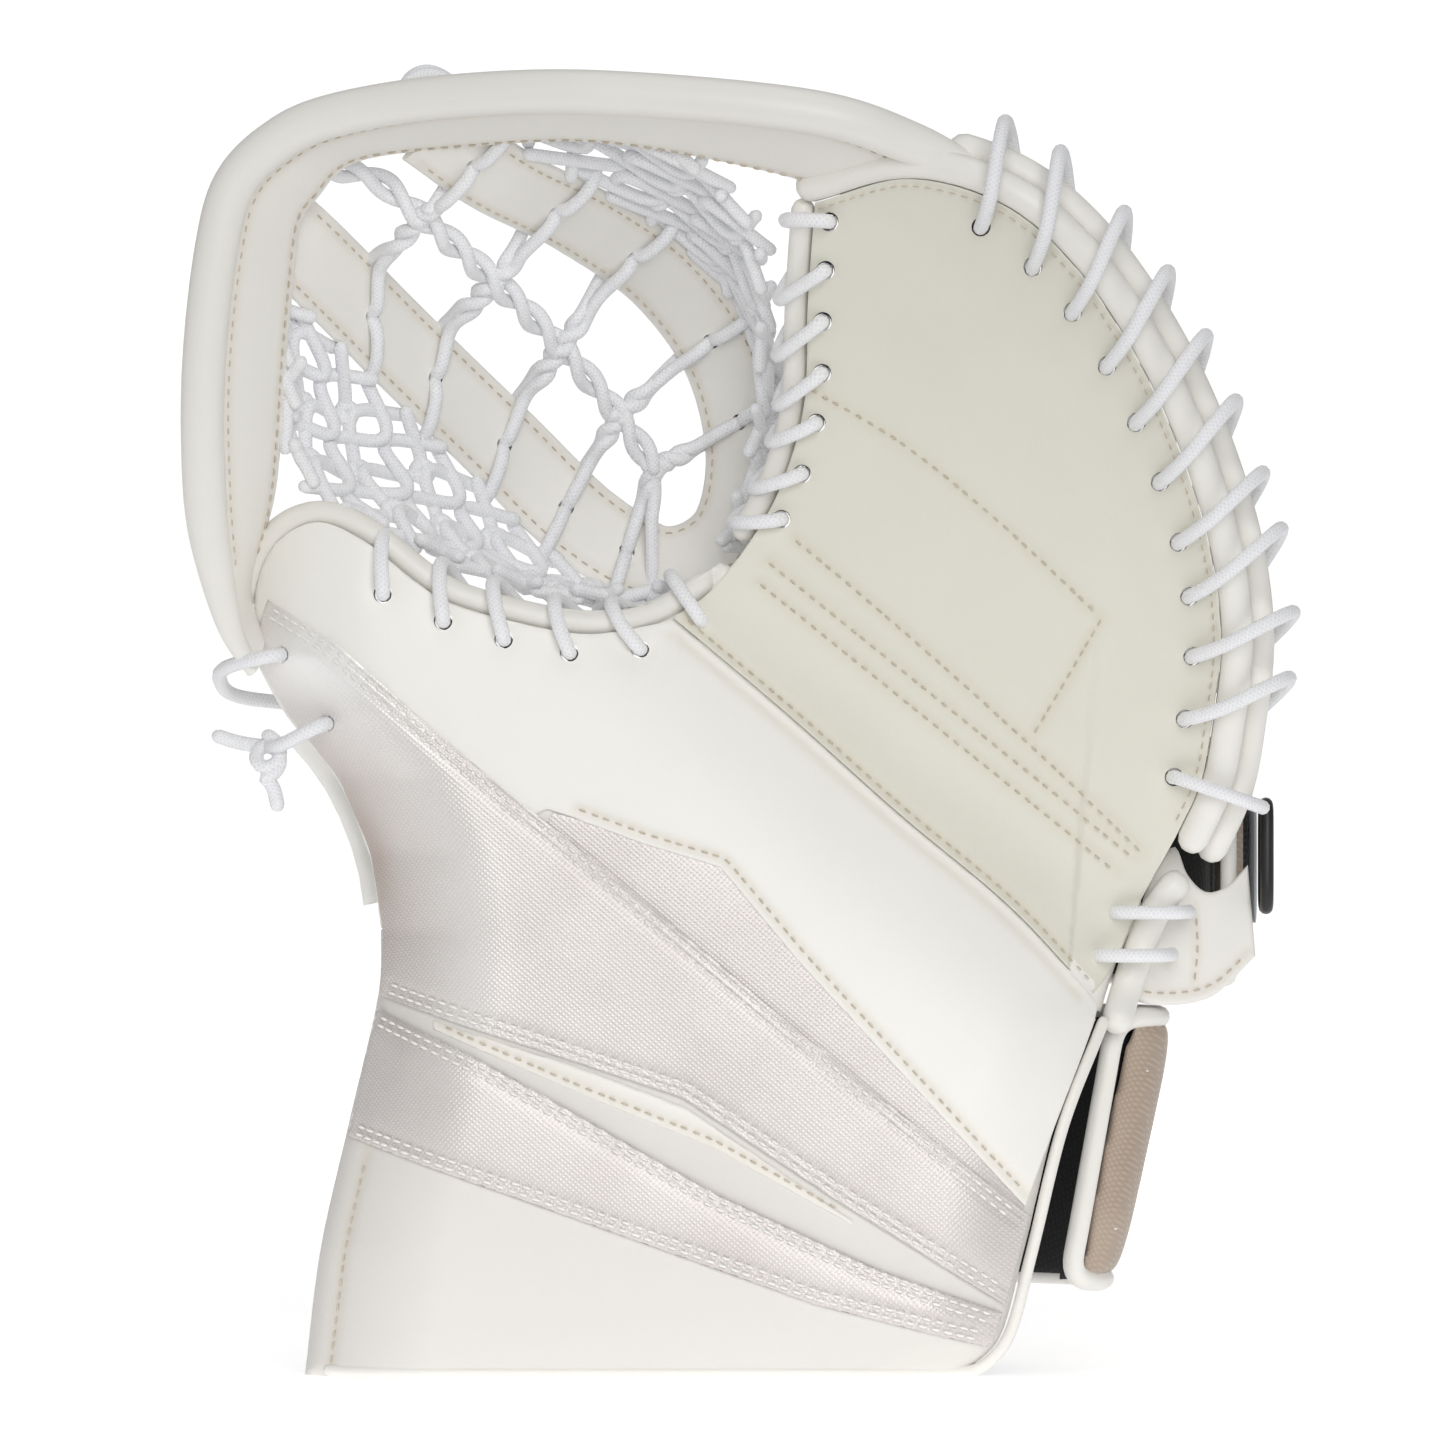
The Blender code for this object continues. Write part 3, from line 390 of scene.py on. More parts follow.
def outlineGap(points, outline):  # distance of each (x, z) point to a closed outline
    gap = np.full(len(points), 1e9)
    for start in range(0, len(outline), 64):
        part = outline[start:start + 64]
        apart = np.linalg.norm(points[:, None, :] - part[None], axis=2)
        gap = np.minimum(gap, apart.min(axis=1))
    return gap


def layPanel(name, sides, step, depth, thickness, edge, crown=0.0, ease=0.6, shape=None):
    # a sewn panel: a grid laid over a depth surface, extruded back, with rolled edges and a soft crown
    bottom, top, left, right = (np.asarray(s, float) for s in sides)
    width = max(np.linalg.norm(np.diff(c, axis=0), axis=1).sum() for c in (bottom, top))
    height = max(np.linalg.norm(np.diff(c, axis=0), axis=1).sum() for c in (left, right))
    columns, rows = max(8, int(width / step)), max(6, int(height / step))
    across, up = np.linspace(0, 1, columns + 1), np.linspace(0, 1, rows + 1)
    across, up = (t - ease * np.sin(2 * math.pi * t) / (2 * math.pi) for t in (across, up))
    grid = fillPatch(bottom, top, left, right, across, up)
    flat = grid.reshape(-1, 2)
    outline = resample(np.vstack([grid[0], grid[:, -1], grid[-1, ::-1], grid[::-1, 0]]),
                       np.linspace(0, 1, 900))
    gap = outlineGap(flat, outline)
    near = np.clip(gap / edge, 0, 1)
    drop = edge * (1 - np.sqrt(1 - (1 - near) ** 2))
    u, v = (a.ravel() for a in np.meshgrid(across, up))
    face = depth(flat[:, 0], flat[:, 1], u, v)
    raised = crown * (1 - np.exp(-gap / 0.010))
    if shape is not None:
        raised = raised + shape(flat[:, 0], flat[:, 1])
    bpy.ops.object.select_all(action="DESELECT")
    bpy.ops.mesh.primitive_grid_add(x_subdivisions=columns, y_subdivisions=rows, size=1)
    piece = bpy.context.active_object
    piece.name = piece.data.name = name
    unit = coordsOf(piece)
    column = np.round((unit[:, 0] + 0.5) * columns).astype(int)
    row = np.round((unit[:, 1] + 0.5) * rows).astype(int)
    order = row * (columns + 1) + column
    front = np.stack([flat[:, 0], face + drop - raised, flat[:, 1]], axis=1)[order]
    sink = piece.data.attributes.new("sink", "FLOAT", "POINT")
    sink.data.foreach_set("value", (2 * drop - raised)[order].astype(np.float32))
    setCoords(piece, front)
    bpy.ops.object.mode_set(mode="EDIT")
    bpy.ops.mesh.select_all(action="SELECT")
    bpy.ops.mesh.extrude_region_move(TRANSFORM_OT_translate={"value": (0, thickness, 0)})
    bpy.ops.object.mode_set(mode="OBJECT")
    moved = np.zeros(len(piece.data.vertices), bool)
    piece.data.vertices.foreach_get("select", moved)
    values = np.zeros(len(moved), np.float32)
    piece.data.attributes["sink"].data.foreach_get("value", values)
    place = coordsOf(piece)
    place[moved, 1] -= values[moved]
    setCoords(piece, place)
    piece.data.attributes.remove(piece.data.attributes["sink"])
    tidyNormals(piece)
    return piece


def faceDepth(offset, shape=None):
    if shape is None:
        return lambda x, z, u, v: palmDepth(x, z) + offset
    return lambda x, z, u, v: palmDepth(x, z) + offset - shape(x, z)


def markSeams(piece, lines, width=0.0028, sink=0.0006, way=(0, 1, 0)):
    # presses sewn lines into the surface and marks them for the painted seam shade, a darker, warmer colour
    place = coordsOf(piece)
    near = np.full(len(place), 1e9)
    for line in lines:
        line = smoothRun(line, 0.002)
        for start in range(0, len(line), 64):
            apart = np.linalg.norm(place[:, None, :] - line[None, start:start + 64], axis=2)
            near = np.minimum(near, apart.min(axis=1))
    amount = np.exp(-(near / width) ** 2)
    mark = piece.data.attributes.get("seam") or piece.data.attributes.new("seam", "FLOAT", "POINT")
    mark.data.foreach_set("value", (0.45 * amount).astype(np.float32))
    setCoords(piece, place + amount[:, None] * sink * np.asarray(way, float))


def loftSkin(rings):
    # a skin over closed rings of points, with its own UV run: u round, v along
    rings = np.asarray(rings, float)
    count, sides = rings.shape[:2]
    centres = rings.mean(axis=1)
    perimeter = np.linalg.norm(rings[0] - np.roll(rings[0], 1, axis=0), axis=1).sum()
    run = np.concatenate([[0], np.cumsum(np.linalg.norm(np.diff(centres, axis=0), axis=1))]) / perimeter
    places = list(rings.reshape(-1, 3))
    faces, uvs = [], []
    for i in range(count - 1):
        j = i + 1
        for k in range(sides):
            m = (k + 1) % sides
            faces.append((i * sides + k, i * sides + m, j * sides + m, j * sides + k))
            left, right = k / sides, (k + 1) / sides
            uvs += [(left, run[i]), (right, run[i]), (right, run[j]), (left, run[j])]
    for i, turn in ((0, -1), (count - 1, 1)):
        middle = len(places)
        places.append(centres[i])
        for k in range(sides):
            pair = (i * sides + k, i * sides + (k + 1) % sides)[::turn]
            faces.append((*pair, middle))
            uvs += [(k / sides, run[i])] * 3
    return places, faces, uvs


def meshPiece(name, parts, angle=60):
    # one object from several lofts
    places, faces, uvs = [], [], []
    for somePlaces, someFaces, someUvs in parts:
        shift = len(places)
        places += somePlaces
        faces += [tuple(i + shift for i in face) for face in someFaces]
        uvs += someUvs
    mesh = bpy.data.meshes.new(name)
    mesh.from_pydata([tuple(p) for p in places], [], faces)
    layer = mesh.uv_layers.new(name="run")
    layer.data.foreach_set("uv", np.asarray(uvs, np.float32).ravel())
    piece = bpy.data.objects.new(name, mesh)
    bpy.context.scene.collection.objects.link(piece)
    tidyNormals(piece, angle)
    return piece


def cordRings(line, radius, sides=10):
    # rings round a line, turned as little as possible from one to the next; rounded at the ends
    line = np.asarray(line, float)
    run = np.gradient(line, axis=0)
    run /= np.linalg.norm(run, axis=1)[:, None]
    side = np.cross(run[0], (0.31, 0.72, 0.62))
    side /= np.linalg.norm(side)
    rings = []
    angles = np.linspace(0, 2 * math.pi, sides, endpoint=False)
    for place, way in zip(line, run):
        side = side - way * (side @ way)
        side /= np.linalg.norm(side)
        other = np.cross(way, side)
        rings.append(place + radius * (np.cos(angles)[:, None] * side + np.sin(angles)[:, None] * other))
    first, last = rings[0], rings[-1]
    for out, share in ((0.55, 0.80), (0.85, 0.45)):
        rings.insert(0, line[0] - run[0] * radius * out + (first - line[0]) * share)
        rings.append(line[-1] + run[-1] * radius * out + (last - line[-1]) * share)
    return np.array(rings)


def relaxed(line, passes):  # pulled taut a little, as a cord is
    line = np.array(line, float)
    for _ in range(passes):
        line[1:-1] = 0.5 * line[1:-1] + 0.25 * (line[:-2] + line[2:])
    return line


def cordPiece(name, routes, radius, step=0.0016, sides=10, passes=5):
    parts = [loftSkin(cordRings(relaxed(smoothRun(route, step), passes), radius, sides)) for route in routes]
    return meshPiece(name, parts)


def stitchPiece(name, rows, out, length=0.0026, pitch=0.0040, radius=0.00042):
    # a row of single stitches, each one arched out of the surface
    parts = []
    angles = np.linspace(0, 2 * math.pi, 6, endpoint=False)
    for n, row in enumerate(rows):
        line = smoothRun(row, 0.0006)
        outs = out[n] if isinstance(out, list) else out
        outs = np.broadcast_to(np.asarray(outs, float), (len(row), 3))
        shares, known = np.linspace(0, 1, len(line)), np.linspace(0, 1, len(outs))
        outs = np.stack([np.interp(shares, known, outs[:, k]) for k in range(3)], axis=1)
        total = (len(line) - 1) * 0.0006
        for at in np.arange(pitch / 2, total - length / 2, pitch):
            i = min(len(line) - 2, max(1, int(at / 0.0006)))
            way = line[i + 1] - line[i - 1]
            way /= np.linalg.norm(way)
            up = outs[i] - way * (outs[i] @ way)
            up /= max(1e-9, np.linalg.norm(up))
            side = np.cross(way, up)
            rings = []
            for share, thick, rise in ((-0.5, 0.35, -0.5), (-0.28, 0.95, 0.35), (0.28, 0.95, 0.35),
                                       (0.5, 0.35, -0.5)):
                centre = line[i] + way * share * length + up * rise * radius
                rings.append(centre + radius * thick * (np.cos(angles)[:, None] * side
                                                        + np.sin(angles)[:, None] * up))
            parts.append(loftSkin(np.array(rings)))
    return meshPiece(name, parts, 80)


def carve(piece, cutter):  # cuts the cutter's shape out; the wall of the hole gets a painted shade, dark as the inside of a hole
    cutter.data.materials.append(holeShade)
    applyModifier(piece, "BOOLEAN", object=cutter, solver="EXACT", material_mode="TRANSFER")
    bpy.data.objects.remove(cutter)


def punchHoles(piece, finish, holes, radius=0.0029, depth=0.05):
    # the lace holes, all from the front
    piece.data.materials.clear()
    piece.data.materials.append(finish)
    cutters = []
    for x, y, z in holes:
        bpy.ops.object.select_all(action="DESELECT")
        bpy.ops.mesh.primitive_cylinder_add(vertices=16, radius=radius, depth=depth, location=(x, y, z),
                                            rotation=(math.pi / 2, 0, 0))
        cutters.append(bpy.context.active_object)
    bpy.ops.object.select_all(action="DESELECT")
    for cutter in cutters:
        cutter.select_set(True)
    bpy.context.view_layer.objects.active = cutters[0]
    bpy.ops.object.join()
    carve(piece, cutters[0])
    print(piece.name, "punched,", len(piece.data.vertices), "points left")


def puffUp(piece, voxel, pressure, cap, frames=20):
    # blows a closed pad up like a stuffed one, then smooths it
    applyModifier(piece, "REMESH", mode="VOXEL", voxel_size=voxel, use_smooth_shade=True)
    start = coordsOf(piece)
    cloth = piece.modifiers.new("cloth", "CLOTH")
    cloth.settings.quality = 4
    cloth.settings.use_pressure = True
    cloth.settings.uniform_pressure_force = pressure
    cloth.settings.effector_weights.gravity = 0
    cloth.settings.tension_stiffness = 20
    cloth.settings.bending_stiffness = 2
    scene = bpy.context.scene
    for step in range(1, frames + 1):
        scene.frame_set(step)
    graph = bpy.context.evaluated_depsgraph_get()
    blown = piece.evaluated_get(graph).to_mesh()
    end = np.zeros(len(blown.vertices) * 3)
    blown.vertices.foreach_get("co", end)
    end = end.reshape(-1, 3)
    piece.evaluated_get(graph).to_mesh_clear()
    piece.modifiers.remove(cloth)
    scene.frame_set(1)
    moved = end - start
    moved -= moved.mean(axis=0)
    far = np.linalg.norm(moved, axis=1)[:, None]
    setCoords(piece, start + moved * np.minimum(1, cap / np.maximum(far, 1e-9)))
    applyModifier(piece, "SUBSURF", levels=1, render_levels=1)
    bpy.ops.object.shade_smooth()


# ---- cuff: padded board front, with its own satin and leather panels sewn on top
print("cuff")
cuff = {
    "step": 0.0018, "edge": 0.0045, "facing": 0.0017,
    "satinTop": [(-0.1473, 0.2440), (-0.1262, 0.2310), (-0.0983, 0.2062), (-0.0673, 0.1798),
                 (-0.0595, 0.1745), (-0.0100, 0.1335), (0.0400, 0.0920), (0.0893, 0.0512)],
    "satinLow": [(-0.1120, 0.1197), (-0.0860, 0.1110), (-0.0598, 0.1026), (-0.0171, 0.0884),
                 (0.0300, 0.0570), (0.0809, 0.0232)],
    "facingLow": [(-0.1120, 0.1500), (-0.0595, 0.1785), (-0.0520, 0.1760), (-0.0290, 0.1675),
                  (-0.0053, 0.1603), (0.0200, 0.1300), (0.0500, 0.0975), (0.0902, 0.0540)],
    "bandTop": [(-0.1128, 0.1153), (-0.0820, 0.1010), (-0.0527, 0.0849), (-0.0347, 0.0744),
                (-0.0062, 0.0583), (0.0434, 0.0350), (0.0805, 0.0208)],
    "bandLow": [(-0.1215, 0.0755), (-0.0720, 0.0580), (-0.0205, 0.0397), (0.0250, 0.0235), (0.0715, 0.0075)],
    "lensTop": [(-0.0950, 0.1120), (-0.0520, 0.0985), (-0.0160, 0.0850), (0.0360, 0.0500)],
    "lensLow": [(-0.0950, 0.1095), (-0.0500, 0.0900), (-0.0080, 0.0730), (0.0360, 0.0485)],
}
cuffPad = layPanel("cuff_pad",
                   (bendThrough([cuffLeft[0], (-0.070, 0.0), (0.0, 0.0), cuffRight[0]]),
                    bendThrough(cuffSeam), bendThrough(cuffLeft), bendThrough(cuffRight)), cuff["step"],
                   faceDepth(0.0), palm["pad"], cuff["edge"], 0.0003)
sideSeam = [onFace([(edgeX(cuffLeft, z) + 0.008, z)])[0] for z in np.linspace(0.004, 0.070, 9)]
markSeams(cuffPad, [sideSeam])
settle(cuffPad, cuffLeather, "palm", ["cuff_face_pad"], "white_leather", 0.9)


# where the satin's painted highlight and painted shade sit
satinPaintedLightPlaces = {"corner": (-0.134, 0.226), "cornerSize": 0.020, "fall": 0.030, "fallSize": 0.011, "fallShare": 0.45,
          "curlSize": 0.009, "curlHeight": 0.165, "curlReach": 0.032}


def paintSatinHighlightAndShade(piece):
    # painted light on the satin: a painted highlight at the thumb's corner and along its fall, and painted
    # shade where it curls away
    place = coordsOf(piece)
    x, z = place[:, 0], place[:, 2]
    inset = x - edgeX(cuffLeft + thumbLeft[1:], z)
    paintedHighlight = np.exp(-((x - satinPaintedLightPlaces["corner"][0]) ** 2 + (z - satinPaintedLightPlaces["corner"][1]) ** 2)
                   / satinPaintedLightPlaces["cornerSize"] ** 2)
    fall = np.exp(-(((inset - satinPaintedLightPlaces["fall"]) / satinPaintedLightPlaces["fallSize"]) ** 2))
    paintedHighlight = paintedHighlight + satinPaintedLightPlaces["fallShare"] * fall * np.clip((z - 0.085) / 0.03, 0, 1)
    paintedCurlShade = 0.75 * np.exp(-((inset / satinPaintedLightPlaces["curlSize"]) ** 2))
    paintedCurlShade = paintedCurlShade * np.exp(-(((z - satinPaintedLightPlaces["curlHeight"]) / satinPaintedLightPlaces["curlReach"]) ** 2))
    for mark, value in (("paintedHighlight", 0.85 * np.clip(paintedHighlight, 0, 1)), ("paintedCurlShade", paintedCurlShade)):
        layer = piece.data.attributes.new(mark, "FLOAT", "POINT")
        layer.data.foreach_set("value", value.astype(np.float32))


def sidePiece(name, low, high, finish, start, thickness, edge=0.0009, crown=0.0004, lift=0.0, left=None,
              right=None, step=0.0016, lines=(), holes=(), **how):
    # a flat panel sewn on the cuff between a lower and an upper edge
    low, high = resample(low, np.linspace(0, 1, 200)), resample(high, np.linspace(0, 1, 200))
    left = np.array([low[0], high[0]]) if left is None else np.array(left)
    right = np.array([low[-1], high[-1]]) if right is None else np.array(right)
    piece = layPanel(name, (low, high, left, right), step, faceDepth(-start - thickness), thickness + lift,
                     edge, crown)
    # satin pieces get the painted highlight and painted shade masks
    if finish is satinCloth:
        paintSatinHighlightAndShade(piece)
    if lines:
        markSeams(piece, lines, 0.0018, 0.0005)
    if len(holes):
        punchHoles(piece, finish, holes, 0.0025)
    return settle(piece, None if len(holes) else finish, "palm", **how)


satinLeft = [(edgeX(cuffLeft + thumbLeft[1:], z) + 0.0008, z) for z in np.linspace(0.1197, 0.2260, 30)]
satinLeft += [(-0.1500, 0.2360), (-0.1473, 0.2440)]
satinRight = [(edgeX(cuffRight, z) - 0.0012, z) for z in np.linspace(0.0232, 0.0512, 8)]
cuff["satinLow"] = np.vstack([satinLeft[0], cuff["satinLow"][1:-1], satinRight[0]])
cuff["satinTop"] = np.vstack([satinLeft[-1], cuff["satinTop"][1:-1], satinRight[-1]])


def alongEdge(edge, inset, first=0.01, last=0.99, lift=0.0023, count=60):
    # a line beside an edge, on the outer face
    line = resample(edge, np.linspace(0, 1, 160))
    run = np.gradient(line, axis=0)
    run /= np.linalg.norm(run, axis=1)[:, None]
    beside = line + np.stack([-run[:, 1], run[:, 0]], axis=1) * inset
    keep = resample(beside, np.linspace(first, last, count))
    return onFace(keep, lift)


cornerHoles = [(-0.1430, 0.2265), (-0.1285, 0.2050)]
cornerPlaces = [tuple(onFace([hole])[0]) for hole in cornerHoles]
satinLines = [alongEdge(cuff["satinTop"], -0.0018), alongEdge(cuff["satinTop"], -0.0044),
              alongEdge(cuff["satinLow"], 0.0018), alongEdge(cuff["satinLow"], 0.0044)]
sidePiece("satin_main", cuff["satinLow"], cuff["satinTop"], satinCloth, 0.0011, 0.0016, 0.0007, 0.0006,
          left=satinLeft, right=satinRight, lines=satinLines, holes=cornerPlaces,
          stands=["cuff_upper_band", "thumb_satin_panel"], slot="satin_weave")
wedgeTop = [(-0.0590, 0.1752), (-0.0290, 0.1675), (-0.0053, 0.1603), (0.0200, 0.1300), (0.0500, 0.0975),
            (0.0895, 0.0545)]
wedgeLow = [(-0.0595, 0.1738), (-0.0400, 0.1575), (-0.0100, 0.1325), (0.0200, 0.1075), (0.0500, 0.0825),
            (0.0885, 0.0505)]
sidePiece("satin_wedge", wedgeLow, np.add(wedgeTop, (0.0015, 0.0020)), satinCloth, 0.0, 0.0008, 0.0004, 0.0,
          slot="satin_weave")
bandRight = [(edgeX(cuffRight, z) - 0.0014, z) for z in np.linspace(0.0100, 0.0208, 6)]
bandLeft = [(edgeX(cuffLeft, z) + 0.0006, z) for z in np.linspace(0.0755, 0.1153, 10)]
cuff["bandLow"] = np.vstack([bandLeft[0], cuff["bandLow"][1:-1], bandRight[0]])
cuff["bandTop"] = np.vstack([bandLeft[-1], cuff["bandTop"][1:-1], bandRight[-1]])
bandLines = [alongEdge(cuff["bandTop"], -0.0017), alongEdge(cuff["bandTop"], -0.0042),
             alongEdge(cuff["bandLow"], 0.0017), alongEdge(cuff["bandLow"], 0.0042)]
sidePiece("satin_band", cuff["bandLow"], cuff["bandTop"], satinCloth, 0.0008, 0.0015, 0.0013, 0.0006,
          left=bandLeft, right=bandRight, lines=bandLines, stands=["cuff_lower_band"], slot="satin_weave")
sidePiece("lens_strip", cuff["lensLow"], cuff["lensTop"], rollLeather, 0.0, 0.0011, 0.0006, 0.0003,
          stands=["cuff_crease_strip"], slot="white_leather",
          lines=[alongEdge(cuff["lensLow"], 0.0022, lift=0.001)])

# the white upper leather: from the stepped edge over the satin wedge up to the pocket and the seam
seam = {"offset": [(-0.0205, 0.2378), (0.0150, 0.2080), (0.0505, 0.1764), (0.0850, 0.1475), (0.1119, 0.1190)]}
seamLine = bendThrough(seam["offset"])
thumbEdge = [(-0.1515, 0.2260), (-0.1505, 0.2480), (-0.1440, 0.2615), (-0.1310, 0.2680), (-0.1160, 0.2620),
             (-0.1010, 0.2500), (-0.0900, 0.2430), (-0.0700, 0.2370), (-0.0470, 0.2330), (-0.0260, 0.2360)]
upperTop = np.vstack([bendThrough(thumbEdge + [(-0.0205, 0.2378)])[:-1], seamLine])
upperRight = bendThrough([(0.0902, 0.0540), (0.1000, 0.0800), (0.1125, 0.1120), (0.1119, 0.1190)])
thumbHoles = [tuple(hole) for hole, outward in edgePlaces(thumbTop[3:], 6, palm["nearInset"], 0.02, 0.94)]
holePlaces = [tuple(onFace([hole])[0]) for hole in thumbHoles] + cornerPlaces


def pullIn(holes, deep=0.0011, wide=0.0048):  # the lace pulls the leather in round each hole
    return lambda x, z: -deep * sum(np.exp(-((x - hx) ** 2 + (z - hz) ** 2) / wide**2) for hx, hz in holes)


facing = layPanel("thumb_facing",
                  (np.array(cuff["facingLow"]), upperTop,
                   bendThrough([cuff["facingLow"][0]] + thumbLeft[1:]), upperRight), 0.0018,
                  faceDepth(-cuff["facing"] - 0.0001, pullIn(thumbHoles)), cuff["facing"], 0.0007)
facingEdge = alongEdge(cuff["facingLow"], 0.0030, 0.27, 0.99, 0.0018)
markSeams(facing, [facingEdge, alongEdge(seamLine, -0.0030, 0.02, 0.98, 0.0018)], 0.0020, 0.0005)
punchHoles(facing, whiteLeather, holePlaces)
settle(facing, None, "palm", slot="white_leather")

thumbColumns, thumbRows = 15, 11
thumbBottom = smoothCurve(cuffSeam[:-1] + [heelRight[0]], thumbColumns) + (0, 0.0007)
breakLine = [onBreak(along, -0.0010) for along in (0.150, 0.110, 0.070, 0.035, 0.0)]
thumbRight = smoothCurve([tuple(thumbBottom[-1])] + heelRight[1:] + breakLine + [thumbTop[-1]], 60)
thumbPad = layPanel("thumb_pad", (thumbBottom, bendThrough(thumbEdge + [(-0.009, 0.246)]),
                                  bendThrough([tuple(thumbBottom[0])] + thumbLeft[1:]), thumbRight),
                    0.0024, faceDepth(0.0), palm["pad"], 0.0035, 0.0, shape=pullIn(thumbHoles))
punchHoles(thumbPad, whiteLeather, holePlaces)
settle(thumbPad, None, "palm", ["thumb_palm_pad"], "white_leather", 0.9)

# ---- finger panel, and the cream facing that runs from the seam over the break to the rim
print("fingers")
edgePair = onBreak(0.006, 0.0012), onBreak(0.1600, 0.0012)
rimHoles = [tuple(hole) for hole, out in
            edgePlaces(fingerRim[2:] + fingerHeel[-2:0:-1], 11, palm["holeInset"], 0.0, 0.93)]
pocketHoles = [tuple(hole) for hole, out in edgePlaces(fingerPocket, 7, palm["pocketInset"], 0.10, 0.95)]
fingerHolePlaces = [tuple(onFace([hole])[0]) for hole in rimHoles + pocketHoles]
ridge = bendThrough([(0.0211, 0.3627), (0.0505, 0.3487), (0.0815, 0.3270), (0.1063, 0.2960), (0.1156, 0.2620),
                     (0.1141, 0.2400)])


def fingerShape(x, z):  # the foam ends in a soft step some way inside the rim, and the holes pull in
    points = np.stack([x, z], axis=1)
    line = resample(ridge, np.linspace(0, 1, 120))
    apart = np.linalg.norm(points[:, None, :] - line[None], axis=2)
    nearest = apart.argmin(axis=1)
    run = np.gradient(line, axis=0)[nearest]
    away = points - line[nearest]
    signed = np.sign(run[:, 0] * away[:, 1] - run[:, 1] * away[:, 0]) * apart.min(axis=1)
    step = 0.0016 / (1 + np.exp(signed / 0.0030))
    return step - 0.0016 + pullIn(rimHoles + pocketHoles)(x, z)


fingerPad = layPanel("finger_pad",
                     (np.array(edgePair), bendThrough(fingerRim),
                      bendThrough([edgePair[0]] + fingerPocket[1:]),
                      bendThrough([edgePair[1]] + fingerHeel[1:])), 0.0026, faceDepth(0.0), palm["pad"],
                     0.0035, 0.0, shape=fingerShape)
punchHoles(fingerPad, creamLeather, fingerHolePlaces)
settle(fingerPad, None, "fingers", ["finger_palm_pad"], "palm_leather", 0.9)

pocketSide = bendThrough([(-0.0200, 0.2382), (-0.0090, 0.2460), (0.0040, 0.2620)] + fingerPocket[1:])
heelSide = bendThrough([(0.1122, 0.1194), (0.1195, 0.1300), (0.1275, 0.1495), (0.1325, 0.1590)]
                       + fingerHeel[1:])
creamFacing = layPanel("palm_facing",
                       (seamLine + (0.0001, 0.0001), bendThrough(fingerRim), pocketSide, heelSide), 0.0015,
                       faceDepth(-0.0018, fingerShape), 0.0017, 0.0007)
foldRows = [onFace([onBreak(s, 0.0008) for s in np.linspace(0.012, 0.158, 24)], 0.0017),
            onFace([onBreak(s, 0.0077) for s in np.linspace(0.010, 0.160, 24)], 0.0017),
            onFace([onBreak(s, 0.0185 - 0.0080 * (s / 0.16) ** 2) for s in np.linspace(0.012, 0.160, 24)],
                   0.0017)]
seamRow = alongEdge(seamLine, 0.0030, 0.02, 0.985, 0.0018)
fingerRow = onFace(bendThrough([(0.0186, 0.3116), (0.0505, 0.2930), (0.0815, 0.2682),
                                (0.1141, 0.2378)])[::3], 0.0017)
cornerRow = onFace(np.array([(0.1141, 0.2378), (0.1035, 0.2190), (0.0924, 0.2000)]), 0.0017)
markSeams(creamFacing, foldRows + [seamRow, fingerRow, cornerRow], 0.0022, 0.0005)
punchHoles(creamFacing, creamLeather, fingerHolePlaces)
settle(creamFacing, None, slot="palm_leather", stands=["break_gusset"], bend=breakBend)

# ---- stitching on the palm side
print("stitching")
outward = (0, -1, 0)
settle(stitchPiece("satin_stitching", [line - (0, 0.0006, 0) for line in satinLines + bandLines], outward,
                   0.0030, 0.0041, 0.00048), whiteThread, "palm", slot="nylon_lace")
settle(stitchPiece("facing_stitching", [facingEdge, alongEdge(cuff["lensLow"], 0.0022, 0.02, 0.98, 0.0015)],
                   outward, 0.0024, 0.0040, 0.00032), tanThread, "palm", slot="white_leather")
settle(stitchPiece("side_stitching", [[tuple(p) for p in sideSeam]], (-0.3, -1, 0), 0.0024, 0.0040, 0.00032),
       tanThread, "palm", slot="white_leather")
settle(stitchPiece("break_stitching", foldRows + [seamRow], outward, 0.0023, 0.0041, 0.00032), tanThread,
       slot="palm_leather", bend=breakBend)
settle(stitchPiece("finger_stitching", [fingerRow, cornerRow], outward, 0.0023, 0.0041, 0.00032), tanThread,
       "fingers", slot="palm_leather")

# ---- rolls and spiral laces round the thumb and the fingers
print("rolls and laces")


def laceRoute(places, loops, inset):  # (outward from the edge, behind the face, share of the way on)
    points = []
    for n, (hole, outward) in enumerate(places):
        last = n == len(places) - 1
        following, nextOut = places[n] if last else places[n + 1]
        for out, behind, share in loops:
            if last and share > 0:
                break
            place = hole * (1 - share) + following * share
            way = outward * (1 - share) + nextOut * share
            x, z = place + way * (inset + out)
            fx, fz = place + way * (inset + min(out, 0.0))
            points.append((x, float(palmDepth(fx, fz)) + behind, z))
    return points


def rollRoute(places, out, behind):
    return [(x + o[0] * out, float(palmDepth(x, z)) + behind, z + o[1] * out) for (x, z), o in places]


rimInset, thumbInset, pocketInset = palm["holeInset"], palm["nearInset"], palm["pocketInset"]
thumbRoll = rollRoute(edgePlaces(thumbEdge + [(-0.0090, 0.2460)], 44, 0.0, 0.10, 1.0), 0.0032, 0.0036)
settle(cordPiece("thumb_roll", [thumbRoll], 0.0041, 0.0025, 14), rollLeather, "palm", ["thumb_edge_roll"],
       "white_leather")
thumbLoops = [(-thumbInset, 0.017, 0), (-thumbInset, -0.0030, 0), (-thumbInset + 0.0025, -0.0056, -0.05),
              (0.0015, -0.0056, -0.20), (0.0092, -0.0014, -0.38), (0.0112, 0.0080, -0.36),
              (0.0060, 0.0165, 0.05), (-0.002, 0.0190, 0.60)]
thumbPlaces = edgePlaces(thumbTop[3:], 6, thumbInset, 0.02, 0.94)
settle(cordPiece("thumb_lace", [laceRoute(thumbPlaces, thumbLoops, thumbInset)], palm["lace"]), laceCord,
       "palm", ["thumb_edge_lace"], "nylon_lace")

